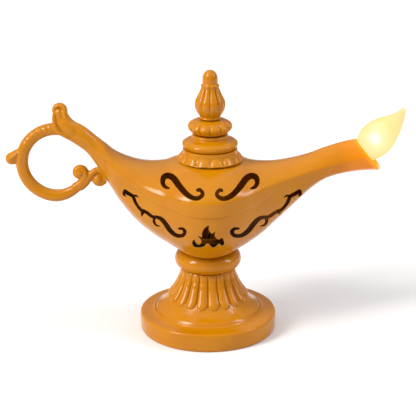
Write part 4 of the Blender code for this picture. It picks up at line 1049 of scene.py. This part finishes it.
def make_flame():
    """Leaning drop of the flame, drilled for the LED and cut level with the mouth."""
    # Share of the length, share of the radius and how far it leans
    form = ((-0.12, 0.62, 0), (0.0, 0.72, 0), (0.05, 0.78, 0), (0.1, 0.86, 0), (0.2, 0.97, 0),
            (0.3, 1.0, 0), (0.4, 0.97, -0.02), (0.5, 0.88, -0.05), (0.6, 0.74, -0.09),
            (0.7, 0.57, -0.11), (0.8, 0.4, -0.11), (0.9, 0.24, -0.07), (0.95, 0.17, -0.03),
            (0.98, 0.12, 0.0), (0.995, 0.07, 0.01), (1.0, 0.02, 0.01))
    line = smooth_points([on_flame_axis(FLAME_LENGTH * s, FLAME_R * lean) for s, _, lean in form], 5)
    radii = [FLAME_R * w for w in smooth_values([width for _, width, _ in form], 5)]
    flame = tube("flame_lens_frosted", line, radii, sides=64)
    bore = cylinder("flame_bore", LED_BORE_R, on_flame_axis(-12), on_flame_axis(5))
    combined(flame, [mouth_slab("flame_foot_cut", -40, -0.9), bore])
    piece(flame, "flame_lens", material=flame_plastic(), slot="flame_plastic")


def make_mouth_plug():
    """Plate in the mouth that holds the flame, seen as a thin line round its foot."""
    body = body_void("mouth_plate", WALL + CLEARANCE / 2, SPOUT_START_X, VOID_END_X, 1.5)
    for low, high in ((-1.2, 40), (-60, -3.2)):
        combined(body, [mouth_slab("plate_cut", low, high)])
    combined(body, [cylinder("plate_bore", LED_BORE_R, on_flame_axis(-20), on_flame_axis(20))])
    # The plug carries the same painted glow of the flame's light
    piece(body, "mouth_plug", material=GOLD_PAINTED_GLOW)


# Screws

def make_screw(name, seat, direction, length, body, radius, head_r, head_h, material):
    """Pan head screw with a cross recess: its head stands on the seat, its shank runs on."""
    head = rounded([(0.02, head_h), (head_r * 0.75, head_h * 0.97, 0.4), (head_r, head_h * 0.45, 0.4),
                    (head_r, 0.0, 0.05), (radius, 0.0, 0.1), (radius, -length + radius, 0.3),
                    (0.02, -length)])
    screw = turned(name, head, steps=48, closed=False)
    arm, wide, deep = head_r * 0.62, head_r * 0.17, head_h * 0.62
    combined(screw, [lofted("recess", [[(u * a * share, v * b * share, z) for u, v in square(1)]
                                       for z, share in ((head_h + 0.2, 1.0), (head_h - deep, 0.55))])
                     for a, b in ((arm, wide), (wide, arm))])
    turn = Vector(direction).to_track_quat("Z", "Y").to_matrix().to_4x4()
    to_origin = Matrix.Translation(in_scene((0, 0, 0))).inverted()
    screw.data.transform(Matrix.Translation(in_scene(seat)) @ turn @ to_origin)
    piece(screw, name, material=material, body=body, slot="steel")


def make_node_screw(node, body, radius, head_h, material, head_r=None):
    """A screw that looks down, in the place and with the length of a CAD screw."""
    low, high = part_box(node)
    x, y = ((low[i] + high[i]) / 2 / MM for i in (0, 1))
    head_r = head_r or (high[1] - low[1]) / MM / 2
    length = (high[2] - low[2]) / MM - head_h
    make_screw(node, (x - AXIS_X / MM, y, low[2] / MM + head_h), (0, 0, -1), length, body, radius,
               head_r, head_h, material)


def make_screws(material):
    for number, (x, z) in enumerate(SHELL_SCREWS, 1):
        make_screw(f"shell_screw_{number}", (x, 2.7, z), (0, 1, 0), 7.9, "lamp", 1.2, 2.3, 1.3, material)
    for number in (1, 2, 3):
        make_node_screw(f"base_screw_{number}", "lamp", 1.2, 0.9, material)
    make_node_screw("door_screw", "battery_door", 1.0, 0.9, material)
    make_node_screw("lid_screw", "lid", 1.4, 1.3, material, head_r=3.0)


# Finishes of the CAD pieces that show from below and through the piercings

def dress_nodes():
    """Give each carried over CAD piece the finish of its slot, and make the screws."""
    steel = plated_steel("steel_plated")
    finishes = {
        "gold_plastic": GOLD,
        "steel": steel,
        "black_plastic": plain_plastic("black_plastic_grained", (0.012, 0.012, 0.013),
                                       (0.022, 0.021, 0.02), 0.48, grain=1400, depth=0.05),
        "board": plain_plastic("board_mask", (0.01, 0.1, 0.035), (0.02, 0.17, 0.06), 0.3),
        "red_insulation": plain_plastic("insulation_red", (0.42, 0.012, 0.01), (0.56, 0.02, 0.015), 0.42),
        "black_insulation": plain_plastic("insulation_black", (0.012, 0.012, 0.012),
                                          (0.024, 0.024, 0.024), 0.42),
        "resistor_body": plain_plastic("resistor_lacquer", (0.5, 0.33, 0.18), (0.62, 0.44, 0.27), 0.35),
        "led_resin": plain_plastic("led_resin_clear", (0.9, 0.82, 0.6), (0.96, 0.9, 0.7), 0.12),
    }
    slots = {row["node"]: row["material_slot"] for row in frame["record"]["subparts"]}
    for node, item in frame["nodes"].items():
        finish = finishes.get(slots.get(node))
        if finish is None or item.hide_render:
            continue
        for slot in item.material_slots:
            slot.material = finish
    make_screws(steel)


# Camera and light

def aimed(item, place, target):
    item.location = in_scene(place)
    item.rotation_euler = (in_scene(target) - item.location).to_track_quat("-Z", "Y").to_euler()


def soft_box(name, place, size, power, colour):
    light = bpy.data.lights.new(name, "AREA")
    light.shape = "RECTANGLE"
    light.size, light.size_y = size
    light.energy = power
    light.color = colour
    aimed(placed(name, light), place, AIM_OF_LIGHT)


def make_camera():
    lens = bpy.data.cameras.new("camera")
    lens.sensor_width = 36
    lens.lens = LENS
    camera = placed("camera", lens)
    aimed(camera, CAMERA, AIM)
    bpy.context.scene.camera = camera
    bpy.context.scene.view_settings.view_transform = "Standard"


def make_world():
    """Even white surroundings that darken downwards."""
    world = bpy.data.worlds.new("studio")
    world.use_nodes = True
    tree = world.node_tree
    place = tree.nodes.new("ShaderNodeTexCoord")
    parts = tree.nodes.new("ShaderNodeSeparateXYZ")
    shade = tree.nodes.new("ShaderNodeValToRGB")
    shade.color_ramp.elements.new(0.5)
    for element, (height, grey) in zip(shade.color_ramp.elements, ((0.0, 0.14), (0.5, 0.5), (1.0, 1.0))):
        element.position = height
        element.color = (grey, grey, grey, 1)
    tree.links.new(place.outputs["Generated"], parts.inputs[0])
    tree.links.new(parts.outputs["Z"], shade.inputs["Fac"])
    tree.links.new(shade.outputs["Color"], tree.nodes["Background"].inputs["Color"])
    tree.nodes["Background"].inputs["Strength"].default_value = 1.12
    bpy.context.scene.world = world


def make_floor():
    mesh = bpy.data.meshes.new("studio_floor")
    mesh.from_pydata([(x, y, 0) for x, y in square(6.0)], [], [(0, 1, 2, 3)])
    floor = placed("studio_floor", mesh)
    made = Nodes("studio_paper")
    made.clouded((0.79, 0.79, 0.79), (0.805, 0.805, 0.805), 400, 2)
    made.set(Roughness=0.9, Specular_IOR_Level=0.1)
    mesh.materials.append(made.material)


def make_studio():
    make_camera()
    make_world()
    soft_box("left_box", (-2050, -1200, 1850), (0.8, 2.0), 94, (1.0, 0.97, 0.92))
    soft_box("right_box", (2400, -280, 1700), (0.5, 1.8), 30, (0.97, 0.93, 1.0))
    make_floor()


make_studio()
make_shell("shell_front", -1)
make_shell("shell_back", 1)
make_pedestal()
make_ring()
make_handle()
make_collar()
make_lid()
make_bead()
make_finial()
make_flame()
make_mouth_plug()
dress_nodes()
